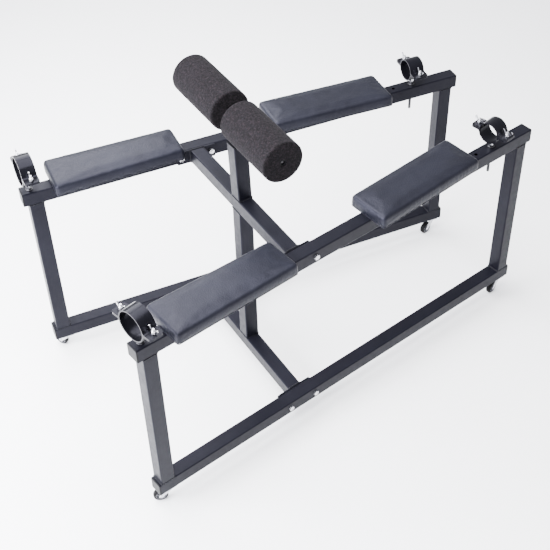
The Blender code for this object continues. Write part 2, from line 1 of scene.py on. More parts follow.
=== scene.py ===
"""The looks of a four-armed padded bench frame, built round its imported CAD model.

Everything is in metres in the model's own frame: +Z up, the wide end at -X, the near side at -Y.
Each shape is drawn about its own origin and placed by a matrix that comes from the CAD nodes'
extents and the joints' positions. Each piece rides on the CAD body that it belongs to.
"""

import json
import math

import bmesh
import bpy
from mathutils import Matrix, Vector, noise


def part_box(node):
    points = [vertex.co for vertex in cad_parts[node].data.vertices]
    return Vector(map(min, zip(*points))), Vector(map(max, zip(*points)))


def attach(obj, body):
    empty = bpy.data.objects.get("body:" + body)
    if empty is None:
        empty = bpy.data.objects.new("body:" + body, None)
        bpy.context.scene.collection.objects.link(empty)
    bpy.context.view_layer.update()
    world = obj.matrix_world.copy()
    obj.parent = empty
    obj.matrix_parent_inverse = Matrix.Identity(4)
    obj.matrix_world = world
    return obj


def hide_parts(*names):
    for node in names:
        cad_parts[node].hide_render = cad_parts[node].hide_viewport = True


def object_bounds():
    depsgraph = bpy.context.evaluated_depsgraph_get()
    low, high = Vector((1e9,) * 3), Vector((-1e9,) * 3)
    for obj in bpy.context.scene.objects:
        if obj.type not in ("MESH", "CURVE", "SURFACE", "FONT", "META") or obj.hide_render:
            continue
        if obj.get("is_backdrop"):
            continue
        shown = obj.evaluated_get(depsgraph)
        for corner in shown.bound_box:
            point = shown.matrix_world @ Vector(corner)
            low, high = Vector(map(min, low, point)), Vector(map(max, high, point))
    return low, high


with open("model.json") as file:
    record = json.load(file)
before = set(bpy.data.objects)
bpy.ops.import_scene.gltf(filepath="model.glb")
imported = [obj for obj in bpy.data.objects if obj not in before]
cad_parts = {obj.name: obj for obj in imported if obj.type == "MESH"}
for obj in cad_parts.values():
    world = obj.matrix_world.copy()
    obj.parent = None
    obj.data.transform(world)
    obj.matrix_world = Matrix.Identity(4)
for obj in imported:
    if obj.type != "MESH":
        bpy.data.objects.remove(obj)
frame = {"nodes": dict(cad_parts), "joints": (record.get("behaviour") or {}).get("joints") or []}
CAD_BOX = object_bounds()
JOINTS = {joint["name"]: joint for joint in frame["joints"]}

SIDES = {"near": -1, "far": 1}
ENDS = ("wide", "narrow")
CORNERS = [(side, end) for side in SIDES for end in ENDS]
QUARTERS = [(x, y) for x in (-1, 1) for y in (-1, 1)]
Y, Z = Vector((0, 1, 0)), Vector((0, 0, 1))
WORLD = Matrix.Identity(4)
CLEAR = 0.0003

# Tube work
TUBE = 0.050
TUBE_WALL = 0.0025
TUBE_CORNER = 0.0045
PLUG_FLANGE = 0.005
PLUG_SLEEVE = 0.012
PLATE_REACH = 0.0065
STEM_HOLE_R = 0.0062
SPARE_HOLE_BEFORE = 0.073
WELD_R = 0.0024
WELD_STEP = 0.0011
WELD_RIPPLE = 0.0042

# Foam rollers
TEE_CLEAR = 0.0004
FOAM_EDGE = 0.007
FOAM_STEP = 0.0032
FOAM_LUMPS = 0.0008

# Fasteners
M10_R, M10_PITCH, M10_BORE = 0.0050, 0.0015, 0.0052
M8_R, M8_PITCH = 0.0040, 0.00125
WASHER_THICK = 0.0016
WASHER_R = 0.0092
BOLT_FLATS = 0.017
BOLT_HEAD_TOP = 0.0067
BOLT_NUT = 0.0065
COLLAR_R = 0.012
COLLAR_THICK = 0.002
STEM_NUT_FLATS = 0.017
STEM_WELD_R = 0.0092
WING_NUT_BORE = 0.0044
CLAMP_HOLE_R = 0.0045
PLATE_SHEET = 0.0025
RACE_R = 0.0162
RACE_DEPTH = 0.0041
RACE_GAP = 0.0005
FORK_STEEL = 0.0018
FORK_FOOT_R = 0.0080
FORK_GAP = 0.0010

# Cuffs
SHELL_WALL = 0.004
LUG_THICK = 0.004
LUG_FILLET = 0.008
LUG_CORNER = 0.011
EDGE = 0.0009

# Cushions
VOXEL = 0.0045
PAD_SHRINK = 0.0012
WRAP_LIFT = 0.0012
PAD_RELAX = 9
PAD_CRISP = 0.12
PAD_HELD = 0.006
PAD_CAP = 0.0050
PAD_GIVE = 0.45
PAD_SINK = 0.0004
PAD_EVEN = 5
PAD_FRAMES = 20
CLOTH = {
    "quality": 6, "mass": 0.25, "tension_stiffness": 60, "compression_stiffness": 40,
    "shear_stiffness": 20, "bending_stiffness": 6.0, "use_pressure": True,
    "uniform_pressure_force": 4.0, "vertex_group_mass": "held",
}
PLEAT_INSET = 0.012
PLEAT_DEPTH = 0.00176
PLEAT_WIDTH = 0.0040
PLEAT_REACH = 0.030
PLEAT_APART = 0.0042
DENT_DEPTH = 0.0007
PULL_DEPTH = 0.0009
PIPING_R = 0.0017
HEM_INSET = 0.0030
BRACKET_INSET = 0.028
STAPLE_INSET = 0.011
STAPLE_STEP = 0.030
STAPLE_CLEAR = 0.008

# The studio. A view is an azimuth, an elevation and a distance; a light adds its size, power and colour
LOOK_AT = (-0.119, -0.145, 0.467)
CAMERA_VIEW = (-31.35, 43.03, 3.727)
CAMERA_ROLL = -0.962
LENS = 72.45
LENS_SHIFT = -0.028
WORLD_COLOR = (0.93, 0.94, 1.0, 1.0)
WORLD_STRENGTH = 1.3
FLOOR_SIZE = 14.0
LIGHTS = {
    "left_window": ((-92.0, 24.0, 3.0), (2.6, 2.0), 560.0, (0.93, 0.94, 1.0)),
    "overhead": ((-90.0, 78.0, 3.0), (3.2, 3.0), 460.0, (1.0, 1.0, 1.0)),
    "back_softbox": ((-168.0, 42.0, 3.2), (2.8, 2.0), 260.0, (0.95, 0.96, 1.0)),
}


# --- places in the frame


def joint_point(name):
    return Vector(JOINTS[name]["pos_m"])


def turned_frame(origin, along):
    """An upright frame at an origin whose X axis points along a level direction."""
    turn = math.atan2(along.y, along.x)
    return Matrix.Translation(origin) @ Matrix.Rotation(turn, 4, "Z")


def side_frame(side):
    """A frame on the floor under a side's wide cuff, X along the rails to the narrow cuff."""
    start = joint_point(f"{side}_wide_cuff_swivel")
    end = joint_point(f"{side}_narrow_cuff_swivel")
    return turned_frame(Vector((start.x, start.y, 0.0)), end - start)


def node_points(node, place):
    """The points of a CAD node, in the frame that a matrix gives."""
    inverse = place.inverted()
    return [inverse @ vertex.co for vertex in frame["nodes"][node].data.vertices]


def span(points):
    """The lowest and the highest corner of some points."""
    return tuple(Vector([pick(point[i] for point in points) for i in range(3)]) for pick in (min, max))


def extents(node, place):
    """Lowest and highest corner of a CAD node, measured in the frame that a matrix gives."""
    return span(node_points(node, place))


def plan_outline(node):
    """The corners of a CAD slab's foot in plan, in order round it, and its lowest height."""
    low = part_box(node)[0].z
    points = {}
    for vertex in frame["nodes"][node].data.vertices:
        if vertex.co.z < low + CLEAR:
            points[(round(vertex.co.x, 5), round(vertex.co.y, 5))] = True
    centre = Vector((sum(p[0] for p in points), sum(p[1] for p in points))) / len(points)
    ordered = sorted(points, key=lambda p: math.atan2(p[1] - centre.y, p[0] - centre.x))
    return [Vector(point) for point in ordered], low


# --- outlines


def circle(radius, segments, centre=(0.0, 0.0), phase=0.0):
    points = []
    for i in range(segments):
        angle = phase + 2 * math.pi * i / segments
        points.append((centre[0] + radius * math.cos(angle), centre[1] + radius * math.sin(angle)))
    return points


def arc(centre, radius, start, end, steps):
    """Points on an arc between two angles in degrees, both ends included."""
    points = []
    for i in range(steps + 1):
        angle = math.radians(start + (end - start) * i / steps)
        points.append((centre[0] + radius * math.cos(angle), centre[1] + radius * math.sin(angle)))
    return points


def round_rect(width, height, corner, steps=6):
    """A rectangle outline with round corners, its width along the first axis."""
    points = []
    for i, (a, b) in enumerate(((1, 1), (-1, 1), (-1, -1), (1, -1))):
        centre = (a * (width / 2 - corner), b * (height / 2 - corner))
        points += arc(centre, corner, 90 * i, 90 * i + 90, steps)
    return points


def round_square(side, corner):
    return round_rect(side, side, corner)


def offset_outline(points, distance):
    """Moves a closed anticlockwise outline outward by a distance."""
    count = len(points)
    moved = []
    for i in range(count):
        back = (points[i] - points[i - 1]).normalized()
        ahead = (points[(i + 1) % count] - points[i]).normalized()
        normal = Vector((back.y + ahead.y, -back.x - ahead.x)).normalized()
        share = max(0.5, normal.dot(Vector((back.y, -back.x))))
        moved.append(points[i] + normal * distance / share)
    return moved


def with_tangents(rows):
    """A closed row of points as (point, tangent) pairs."""
    count = len(rows)
    return [(rows[i], (rows[(i + 1) % count] - rows[i - 1]).normalized()) for i in range(count)]


def spaced(points, step):
    """A closed outline cut into nearly equal steps, as (point, tangent) pairs."""
    rows = []
    count = len(points)
    for i in range(count):
        a = Vector(points[i])
        b = Vector(points[(i + 1) % count])
        pieces = max(1, round((b - a).length / step))
        for j in range(pieces):
            rows.append(a + (b - a) * j / pieces)
    return with_tangents(rows)


# --- shapes


def ring_verts(bm, outline, height, axis):
    """New points on an outline across an axis, at a height along it."""
    order = {"Z": (0, 1, 2), "X": (2, 0, 1), "Y": (1, 2, 0)}[axis]
    rows = [(a, b, height) for a, b in outline]
    return [bm.verts.new([row[i] for i in order]) for row in rows]


def bridge(bm, first, second):
    count = len(first)
    for i in range(count):
        j = (i + 1) % count
        bm.faces.new((first[i], first[j], second[j], second[i]))


def prism(outline, low, high, axis="Z"):
    """A closed outline extruded along an axis."""
    bm = bmesh.new()
    first = ring_verts(bm, outline, low, axis)
    second = ring_verts(bm, outline, high, axis)
    bm.faces.new(first[::-1])
    bm.faces.new(second)
    bridge(bm, first, second)
    return bm


def loft(levels, axis="Z"):
    """A closed body through outlines of equal length; levels are (outline, height) pairs."""
    bm = bmesh.new()
    rings = [ring_verts(bm, outline, height, axis) for outline, height in levels]
    bm.faces.new(rings[0][::-1])
    bm.faces.new(rings[-1])
    for first, second in zip(rings, rings[1:]):
        bridge(bm, first, second)
    return bm


def tube_prism(outer, inner, low, high, axis="Z"):
    """A hollow bar open at both ends; both outlines have the same number of points."""
    bm = bmesh.new()
    rings = [
        ring_verts(bm, outer, low, axis),
        ring_verts(bm, outer, high, axis),
        ring_verts(bm, inner, high, axis),
        ring_verts(bm, inner, low, axis),
    ]
    for i in range(4):
        bridge(bm, rings[i], rings[(i + 1) % 4])
    return bm


def mirrored(profile):
    """A profile that is completed by its own mirror image in height."""
    return profile + [(r, -height) for r, height in reversed(profile)]


def lathe(profile, segments=48, axis="Z"):
    """Turns a (radius, height) profile about an axis; it closes on the axis or on itself."""
    bm = bmesh.new()
    rings = [ring_verts(bm, circle(r, segments if r else 1), height, axis) for r, height in profile]
    pairs = list(zip(rings, rings[1:]))
    if profile[0][0] > 0 and profile[-1][0] > 0:
        pairs.append((rings[-1], rings[0]))
    for first, second in pairs:
        for i in range(segments):
            j = (i + 1) % segments
            corners = [first[i % len(first)], first[j % len(first)]]
            corners += [second[j % len(second)], second[i % len(second)]]
            unique = list(dict.fromkeys(corners))
            if len(unique) > 2:
                bm.faces.new(unique)
    return bm


def cylinder(radius, low, high, segments=32, centre=(0.0, 0.0), axis="Z"):
    return prism(circle(radius, segments, centre), low, high, axis)


def box(low, high):
    outline = [(low[0], low[1]), (high[0], low[1]), (high[0], high[1]), (low[0], high[1])]
    return prism(outline, low[2], high[2])


def soften(bm, width, segments=2, angle=35.0):
    """Rounds every edge of a shape that is sharper than an angle in degrees."""
    limit = math.radians(angle)
    edges = [edge for edge in bm.edges if len(edge.link_faces) == 2 and edge.calc_face_angle() > limit]
    bmesh.ops.bevel(bm, geom=edges, offset=width, segments=segments, profile=0.5, affect="EDGES",
                    clamp_overlap=True)
    return bm


def moved(bm, matrix):
    bm.transform(matrix)
    return bm


def shift(x=0.0, y=0.0, z=0.0):
    return Matrix.Translation((x, y, z))


def turn(degrees, axis="Z"):
    return Matrix.Rotation(math.radians(degrees), 4, axis)


def gather(shapes):
    """Puts several closed shapes into one bmesh without joining them."""
    bm = bmesh.new()
    for shape in shapes:
        mesh = bpy.data.meshes.new("part")
        shape.to_mesh(mesh)
        shape.free()
        bm.from_mesh(mesh)
        bpy.data.meshes.remove(mesh)
    return bm


def mesh_of(bm, name):
    bmesh.ops.recalc_face_normals(bm, faces=bm.faces)
    mesh = bpy.data.meshes.new(name)
    bm.to_mesh(mesh)
    bm.free()
    return mesh


def linked(name, data):
    item = bpy.data.objects.new(name, data)
    bpy.context.scene.collection.objects.link(item)
    return item


def evaluated(item):
    graph = bpy.context.evaluated_depsgraph_get()
    return bpy.data.meshes.new_from_object(item.evaluated_get(graph))


def apply(item, kind, **settings):
    """Changes an object's mesh by one modifier with the given settings."""
    modifier = item.modifiers.new("step", kind)
    for key, value in settings.items():
        setattr(modifier, key, value)
    item.data = evaluated(item)
    item.modifiers.clear()


def carve(bm, tools, operation="DIFFERENCE"):
    """Cuts tool shapes from a shape, or joins them to it, and returns the result."""
    body = linked("work_body", mesh_of(bm, "work_body"))
    for tool in tools:
        other = linked("work_tool", mesh_of(tool, "work_tool"))
        apply(body, "BOOLEAN", operation=operation, solver="EXACT", object=other)
        bpy.data.objects.remove(other, do_unlink=True)
    result = bmesh.new()
    result.from_mesh(body.data)
    bpy.data.objects.remove(body, do_unlink=True)
    return result


def sweep(path, radius, sides=8):
    """A closed round bead along (point, tangent) rows in a level plane; radius is a function."""
    bm = bmesh.new()
    rings = []
    for i, (point, tangent) in enumerate(path):
        outward = Vector((tangent.y, -tangent.x, 0.0))
        size = radius(i)
        ring = []
        for j in range(sides):
            angle = 2 * math.pi * j / sides
            place = point.to_3d() + outward * size * math.cos(angle) + Z * size * math.sin(angle)
            ring.append(bm.verts.new(place))
        rings.append(ring)
    for i in range(len(rings)):
        bridge(bm, rings[i], rings[(i + 1) % len(rings)])
    return bm


def piece(name, bm, material, place, body="frame", smooth=32.0, weighted=True, node=None):
    """Makes a shape into a shown piece: placed by a matrix, shaded and riding on a CAD body.

    It hides the CAD node that it stands for, if any.
    """
    bm.transform(place)
    mesh = mesh_of(bm, name)
    mesh.materials.append(material)
    mesh.shade_smooth()
    mesh.set_sharp_from_angle(angle=math.radians(smooth))
    item = linked(name, mesh)
    if weighted:
        modifier = item.modifiers.new("flat_faces", "WEIGHTED_NORMAL")
        modifier.keep_sharp = True
    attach(item, body)
    if node:
        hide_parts(node)
    return item


# --- materials


GLOSS_TINT = (0.80, 0.79, 1.0)


def set_inputs(node, **values):
    """Sets a node's own sockets; an underscore in a key stands for a space in the socket's name."""
    for key, value in values.items():
        node.inputs[key.replace("_", " ")].default_value = value


def plain(name, color, roughness, metallic=0.0, specular=0.5, sheen=0.0, tint=(1.0, 1.0, 1.0)):
    """A material with its constant values set; returns it with its node tree and shader."""
    material = bpy.data.materials.new(name)
    material.use_nodes = True
    shader = material.node_tree.nodes["Principled BSDF"]
    set_inputs(shader, Base_Color=(*color, 1.0), Roughness=roughness, Metallic=metallic, Sheen_Weight=sheen,
               Specular_IOR_Level=specular, Specular_Tint=(*tint, 1.0))
    return material, material.node_tree, shader


def place_texture(tree, node, scale):
    coordinates = tree.nodes.get("coordinates")
    if coordinates is None:
        coordinates = tree.nodes.new("ShaderNodeTexCoord")
        coordinates.name = "coordinates"
    tree.links.new(coordinates.outputs["Object"], node.inputs["Vector"])
    set_inputs(node, Scale=scale)


def noise_texture(tree, scale, detail=2.0, roughness=0.5):
    node = tree.nodes.new("ShaderNodeTexNoise")
    place_texture(tree, node, scale)
    set_inputs(node, Detail=detail, Roughness=roughness)
    return node.outputs["Fac"]


def cell_texture(tree, scale, feature="F1"):
    node = tree.nodes.new("ShaderNodeTexVoronoi")
    node.feature = feature
    place_texture(tree, node, scale)
    set_inputs(node, Randomness=1.0)
    return node.outputs["Distance"]


def ramp_between(tree, source, dark, light, low, high, socket):
    """Leads a source to a colour socket, through a ramp between two colours."""
    ramp = tree.nodes.new("ShaderNodeValToRGB")
    for element, position, color in zip(ramp.color_ramp.elements, (low, high), (dark, light)):
        element.position = position
        element.color = (*color, 1.0)
    tree.links.new(source, ramp.inputs["Fac"])
    tree.links.new(ramp.outputs["Color"], socket)


def color_between(tree, shader, source, dark, light):
    ramp_between(tree, source, dark, light, 0.3, 0.7, shader.inputs["Base Color"])


def roughness_between(tree, shader, source, low, high):
    ramp = tree.nodes.new("ShaderNodeMapRange")
    set_inputs(ramp, From_Min=0.3, From_Max=0.7, To_Min=low, To_Max=high)
    tree.links.new(source, ramp.inputs["Value"])
    tree.links.new(ramp.outputs["Result"], shader.inputs["Roughness"])


def add_bump(tree, shader, source, distance, strength=1.0):
    """Adds a bump under any that the shader has already."""
    bump = tree.nodes.new("ShaderNodeBump")
    set_inputs(bump, Distance=distance, Strength=strength)
    tree.links.new(source, bump.inputs["Height"])
    links = shader.inputs["Normal"].links
    if links:
        tree.links.new(links[0].from_socket, bump.inputs["Normal"])
    tree.links.new(bump.outputs["Normal"], shader.inputs["Normal"])


def finish(name, slot, color, roughness, mottle, shades, gloss=None, bumps=(), **constants):
    """A material with noise between two shades and, where given, in its roughness and bumps.

    mottle and gloss start with a noise's scale and detail; gloss goes on with the two ends of
    the roughness. Each bump is a texture, its settings, a distance in metres and a strength.
    """
    material, tree, shader = plain(name, color, roughness, **constants)
    color_between(tree, shader, noise_texture(tree, *mottle), *shades)
    if gloss:
        roughness_between(tree, shader, noise_texture(tree, *gloss[:2]), *gloss[2:])
    for texture, settings, distance, strength in bumps:
        add_bump(tree, shader, texture(tree, *settings), distance, strength)
    return material


def foam():
    """Open black foam: a dusty brown and violet speckle over fine pits."""
    material, tree, shader = plain("black_foam", (0.012, 0.010, 0.012), 0.95, 0.0, 0.08, 0.02)
    set_inputs(shader, Sheen_Roughness=0.6, Sheen_Tint=(0.60, 0.56, 0.64, 1.0))
    speckle = tree.nodes.new("ShaderNodeMix")
    speckle.data_type = "RGBA"
    speckle.blend_type = "MULTIPLY"
    set_inputs(speckle, Factor=1.0)
    hue = noise_texture(tree, 150.0, 3.0)
    dark, light = (0.0040, 0.0036, 0.0048), (0.0104, 0.0074, 0.0092)
    ramp_between(tree, hue, dark, light, 0.40, 0.62, speckle.inputs["A"])
    grain = noise_texture(tree, 170.0, 4.0, 0.8)
    ramp_between(tree, grain, (0.06, 0.06, 0.06), (1.0, 1.0, 1.0), 0.44, 0.60, speckle.inputs["B"])
    tree.links.new(speckle.outputs["Result"], shader.inputs["Base Color"])
    add_bump(tree, shader, cell_texture(tree, 700.0), 0.0006, 0.7)
    add_bump(tree, shader, noise_texture(tree, 190.0, 4.0, 0.75), 0.0014, 0.8)
    return material


# Black powder coat: a soft gloss over a fine orange peel
COAT = finish(
    "powder_coat", "black_powder_coat", (0.0035, 0.0035, 0.0055), 0.40, specular=0.09, tint=GLOSS_TINT,
    mottle=(7.0, 3.0), shades=((0.0026, 0.0026, 0.0042), (0.0044, 0.0044, 0.0068)),
    gloss=(60.0, 4.0, 0.34, 0.46), bumps=[(noise_texture, (420.0, 2.0), 0.00010, 0.5)],
)

# Smooth black enamel of the clamp cuffs, glossier than the frame's coat
ENAMEL = finish(
    "cuff_enamel", "black_powder_coat", (0.003, 0.003, 0.004), 0.22, specular=0.10, tint=GLOSS_TINT,
    mottle=(14.0, 3.0), shades=((0.0022, 0.0022, 0.0030), (0.0040, 0.0040, 0.0055)),
    gloss=(70.0, 3.0, 0.16, 0.27), bumps=[(noise_texture, (260.0, 2.0), 0.00008, 0.4)],
)

# Powder coat that has run thin over a rippled weld
WELD = finish(
    "coated_weld", "black_powder_coat", (0.006, 0.006, 0.008), 0.34, specular=0.10,
    mottle=(300.0, 3.0), shades=((0.003, 0.003, 0.0045), (0.010, 0.010, 0.013)),
    gloss=(500.0, 2.0, 0.22, 0.42), bumps=[(noise_texture, (700.0, 3.0), 0.00015, 0.6)],
)

# Black upholstery vinyl with a fine pebbled leather grain
VINYL = finish(
    "black_vinyl", "black_vinyl", (0.0045, 0.0047, 0.0070), 0.42, specular=0.16, tint=GLOSS_TINT,
    mottle=(9.0, 4.0), shades=((0.0034, 0.0036, 0.0056), (0.0058, 0.0062, 0.0096)),
    gloss=(160.0, 3.0, 0.36, 0.50),
    bumps=[(cell_texture, (230.0,), 0.00075, 0.60), (cell_texture, (520.0,), 0.00030, 0.50),
           (noise_texture, (900.0, 3.0), 0.00010, 0.35)],
)

FOAM = foam()

# The black dust cover and edge tape of a cushion board
BOARD = finish(
    "black_board", "board", (0.008, 0.008, 0.008), 0.75, specular=0.15,
    mottle=(90.0, 5.0), shades=((0.003, 0.003, 0.004), (0.008, 0.008, 0.009)),
    bumps=[(cell_texture, (900.0, "F2"), 0.0002, 0.6)],
)

# Bright zinc plate with slight haze and hairline wear
ZINC = finish(
    "bright_zinc", "bright_zinc", (0.50, 0.50, 0.52), 0.18, metallic=1.0,
    mottle=(120.0, 3.0), shades=((0.36, 0.36, 0.39), (0.64, 0.64, 0.66)),
    gloss=(260.0, 4.0, 0.08, 0.24), bumps=[(noise_texture, (800.0, 2.0), 0.00004, 0.4)],
)

# Zinc plate of the caster hubs, dulled by use
DULL = finish(
    "dull_zinc", "bright_zinc", (0.10, 0.10, 0.11), 0.34, metallic=1.0,
    mottle=(90.0, 4.0), shades=((0.05, 0.05, 0.06), (0.16, 0.16, 0.17)),
    gloss=(200.0, 4.0, 0.32, 0.52), bumps=[(noise_texture, (700.0, 3.0), 0.00006, 0.5)],
)

# Black oxide steel of the threaded stems
STEEL = finish(
    "dark_steel", "black_powder_coat", (0.045, 0.045, 0.050), 0.35, metallic=0.8,
    mottle=(400.0, 3.0), shades=((0.025, 0.025, 0.028), (0.075, 0.074, 0.078)),
    gloss=(600.0, 2.0, 0.28, 0.45),
)

# Moulded black plastic with a fine spark texture
PLASTIC = finish(
    "black_plastic", "black_plastic", (0.003, 0.003, 0.004), 0.40, specular=0.07,
    mottle=(40.0, 3.0), shades=((0.0022, 0.0022, 0.0030), (0.0040, 0.0040, 0.0052)),
    bumps=[(noise_texture, (1500.0, 2.0), 0.00006, 0.6)],
)

# Black caster tyre with a light bloom
RUBBER = finish(
    "black_tyre", "black_tyre", (0.004, 0.004, 0.0045), 0.60, specular=0.08,
    mottle=(150.0, 4.0), shades=((0.0025, 0.0025, 0.0030), (0.0065, 0.0065, 0.0070)),
    bumps=[(noise_texture, (900.0, 2.0), 0.00008, 0.6)],
)


# --- frame


def square_tube(low, high, axis):
    outer = round_square(TUBE, TUBE_CORNER)
    inner = round_square(TUBE - 2 * TUBE_WALL, TUBE_CORNER - TUBE_WALL)
    return tube_prism(outer, inner, low, high, axis)


def weld_bead(outline, flush_sides=False):
    """A rippled bead round an outline at Z = 0; sides flush with the next tube get a thinner one."""
    path = spaced(outline, WELD_STEP)
    sizes = []
    for i, (point, tangent) in enumerate(path):
        wave = math.sin(2 * math.pi * i * WELD_STEP / WELD_RIPPLE)
        drift = noise.noise(Vector((point.x * 160, point.y * 160, len(path) * 0.1)))
        size = WELD_R * (1.0 + 0.11 * wave + 0.22 * drift)
        if flush_sides and abs(tangent.x) > 0.8:
            size *= 0.55
        sizes.append(size)
    return sweep(path, lambda i: sizes[i], 10)


def end_plug():
    """A plastic tube plug: its flange covers the tube's end at X = 0 and faces +X."""
    inner = TUBE - 2 * TUBE_WALL
    levels = [
        (round_square(inner - 0.0020, 0.0015), -PLUG_SLEEVE),
        (round_square(inner - 0.0004, 0.0020), -PLUG_SLEEVE + 0.002),
        (round_square(inner - 0.0004, 0.0020), 0.0),
        (round_square(TUBE, TUBE_CORNER), 0.0),
        (round_square(TUBE, TUBE_CORNER), 0.0024),
        (round_square(TUBE - 0.0009, TUBE_CORNER), 0.0036),
        (round_square(TUBE - 0.0026, TUBE_CORNER), 0.0044),
        (round_square(TUBE - 0.0070, TUBE_CORNER), PLUG_FLANGE),
    ]
    return loft(levels, "X")


def build_rails():
    for side in SIDES:
        place = side_frame(side)
        reach = (place.inverted() @ joint_point(f"{side}_narrow_cuff_swivel")).x
        for level in ("top", "bottom"):
            node = f"{side}_{level}_rail"
            low, high = extents(node, place)
            middle = (low + high) / 2
            tube = square_tube(low.x + PLUG_FLANGE, high.x - PLUG_FLANGE, "X")
            if level == "top":
                places = (0.0, reach, reach - SPARE_HOLE_BEFORE)
                tube = carve(tube, [cylinder(STEM_HOLE_R, -TUBE, TUBE, 32, (x, 0.0)) for x in places])
            seat = place @ shift(0, middle.y, middle.z)
            piece(f"{node}_tube", tube, COAT, seat, node=node)
            open_ends = (("wide", low.x + PLUG_FLANGE, 180), ("narrow", high.x - PLUG_FLANGE, 0))
            for label, x, heading in open_ends:
                seat = place @ shift(x, middle.y, middle.z) @ turn(heading)
                piece(f"{node}_{label}_end_plug", end_plug(), PLASTIC, seat)


def build_post(node, place):
    low, high = extents(node, place)
    middle = (low + high) / 2
    seat = place @ shift(middle.x, middle.y, 0)
    piece(f"{node}_tube", square_tube(low.z, high.z, "Z"), COAT, seat, node=node)
    outline = round_square(TUBE, TUBE_CORNER)
    for label, z in (("foot", low.z), ("head", high.z)):
        bead = weld_bead(outline, flush_sides=True)
        piece(f"{node}_{label}_weld", bead, WELD, seat @ shift(z=z), smooth=60)


def plate_extents(node, side):
    """The end plate of a crossbar: the extents of what lies close to the rail's inner face."""
    points = node_points(node, side_frame(side))
    return span([point for point in points if abs(point.y) < TUBE / 2 + PLATE_REACH])


def build_crossbar(level):
    node = f"{level}_crossbar"
    low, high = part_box(node)
    post_low, post_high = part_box("lower_centre_post")
    centre = Vector(((post_low.x + post_high.x) / 2, 0.0, (low.z + high.z) / 2))
    tube = moved(square_tube(low.y, high.y, "Y"), Matrix.Translation(centre))
    ends = []
    for side, out in SIDES.items():
        plate_low, plate_high = plate_extents(node, side)
        start, stop = sorted((-out * abs((plate_low.y + plate_high.y) / 2), out * 0.2))
        ends.append(moved(box((-2.0, start, 0.0), (2.0, stop, 1.0)), side_frame(side)))
    tube = carve(tube, ends)
    piece(f"{node}_tube", tube, COAT, WORLD, node=node)
    for side, out in SIDES.items():
        place = side_frame(side)
        plate_low, plate_high = plate_extents(node, side)
        size = plate_high - plate_low
        middle = (plate_low + plate_high) / 2
        plate = prism(round_rect(size.z, size.x, 0.006), -size.y / 2, size.y / 2, "Y")
        soften(plate, 0.0007)
        seat = place @ Matrix.Translation(middle)
        piece(f"{node}_{side}_plate", plate, COAT, seat)
        start = place.inverted() @ centre
        along = place.inverted().to_3x3() @ Y
        face = -out * max(abs(plate_low.y), abs(plate_high.y))
        foot = start + along * (face - start.y) / along.y
        seat = place @ Matrix.Translation(foot) @ turn(90, "X")
        bead = weld_bead(round_square(TUBE + 0.0006, TUBE_CORNER))
        piece(f"{node}_{side}_weld", bead, WELD, seat, smooth=60)


def lean_frame():
    """The upper centre post's own frame, from the crossbar's top face towards the rollers."""
    low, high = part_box("lower_centre_post")
    base = Vector(((low.x + high.x) / 2, 0.0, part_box("upper_crossbar")[1].z))
    lean = joint_point("near_foam_roller_spin") - base
    return Matrix.Translation(base) @ Matrix.Rotation(math.atan2(lean.x, lean.z), 4, "Y")


def tee_radius():
    """The radius of the roller tee's tubes."""
    low, high = extents("roller_tee", lean_frame())
    return (high.x - low.x) / 2


def build_upper_post():
    place = lean_frame()
    base = place.translation
    cap_low, cap_high = extents("centre_post_cap", place)
    tube = moved(square_tube(-TUBE, cap_low.z, "Z"), place)
    below = box((-1.0, -1.0, -1.0), (1.0, 1.0, base.z + CLEAR))
    piece("upper_centre_post_tube", carve(tube, [below]), COAT, WORLD, node="upper_centre_post")
    bead = weld_bead(round_square(TUBE + 0.0006, TUBE_CORNER))
    seat = Matrix.Translation(base) @ shift(z=CLEAR)
    piece("upper_centre_post_weld", bead, WELD, seat, smooth=60)
    build_post_cap(place, cap_low.z, cap_high.z - cap_low.z)


def build_post_cap(place, foot, thick):
    """The moulded cap of the upper post, with a hole for the roller tee's stem."""
    inner = TUBE - 2 * TUBE_WALL
    levels = [
        (round_square(inner - 0.0020, 0.0015), -PLUG_SLEEVE),
        (round_square(inner - 0.0004, 0.0020), 0.0),
        (round_square(TUBE, TUBE_CORNER), 0.0),
        (round_square(TUBE, TUBE_CORNER), thick * 0.6),
        (round_square(TUBE - 0.0008, TUBE_CORNER), thick * 0.85),
        (round_square(TUBE - 0.0028, TUBE_CORNER), thick),
    ]
    cap = carve(loft(levels), [cylinder(tee_radius() + TEE_CLEAR, -TUBE, TUBE, 48)])
    piece("centre_post_cap_moulding", soften(cap, 0.0003, 1, 60), PLASTIC, place @ shift(z=foot),
          node="centre_post_cap")


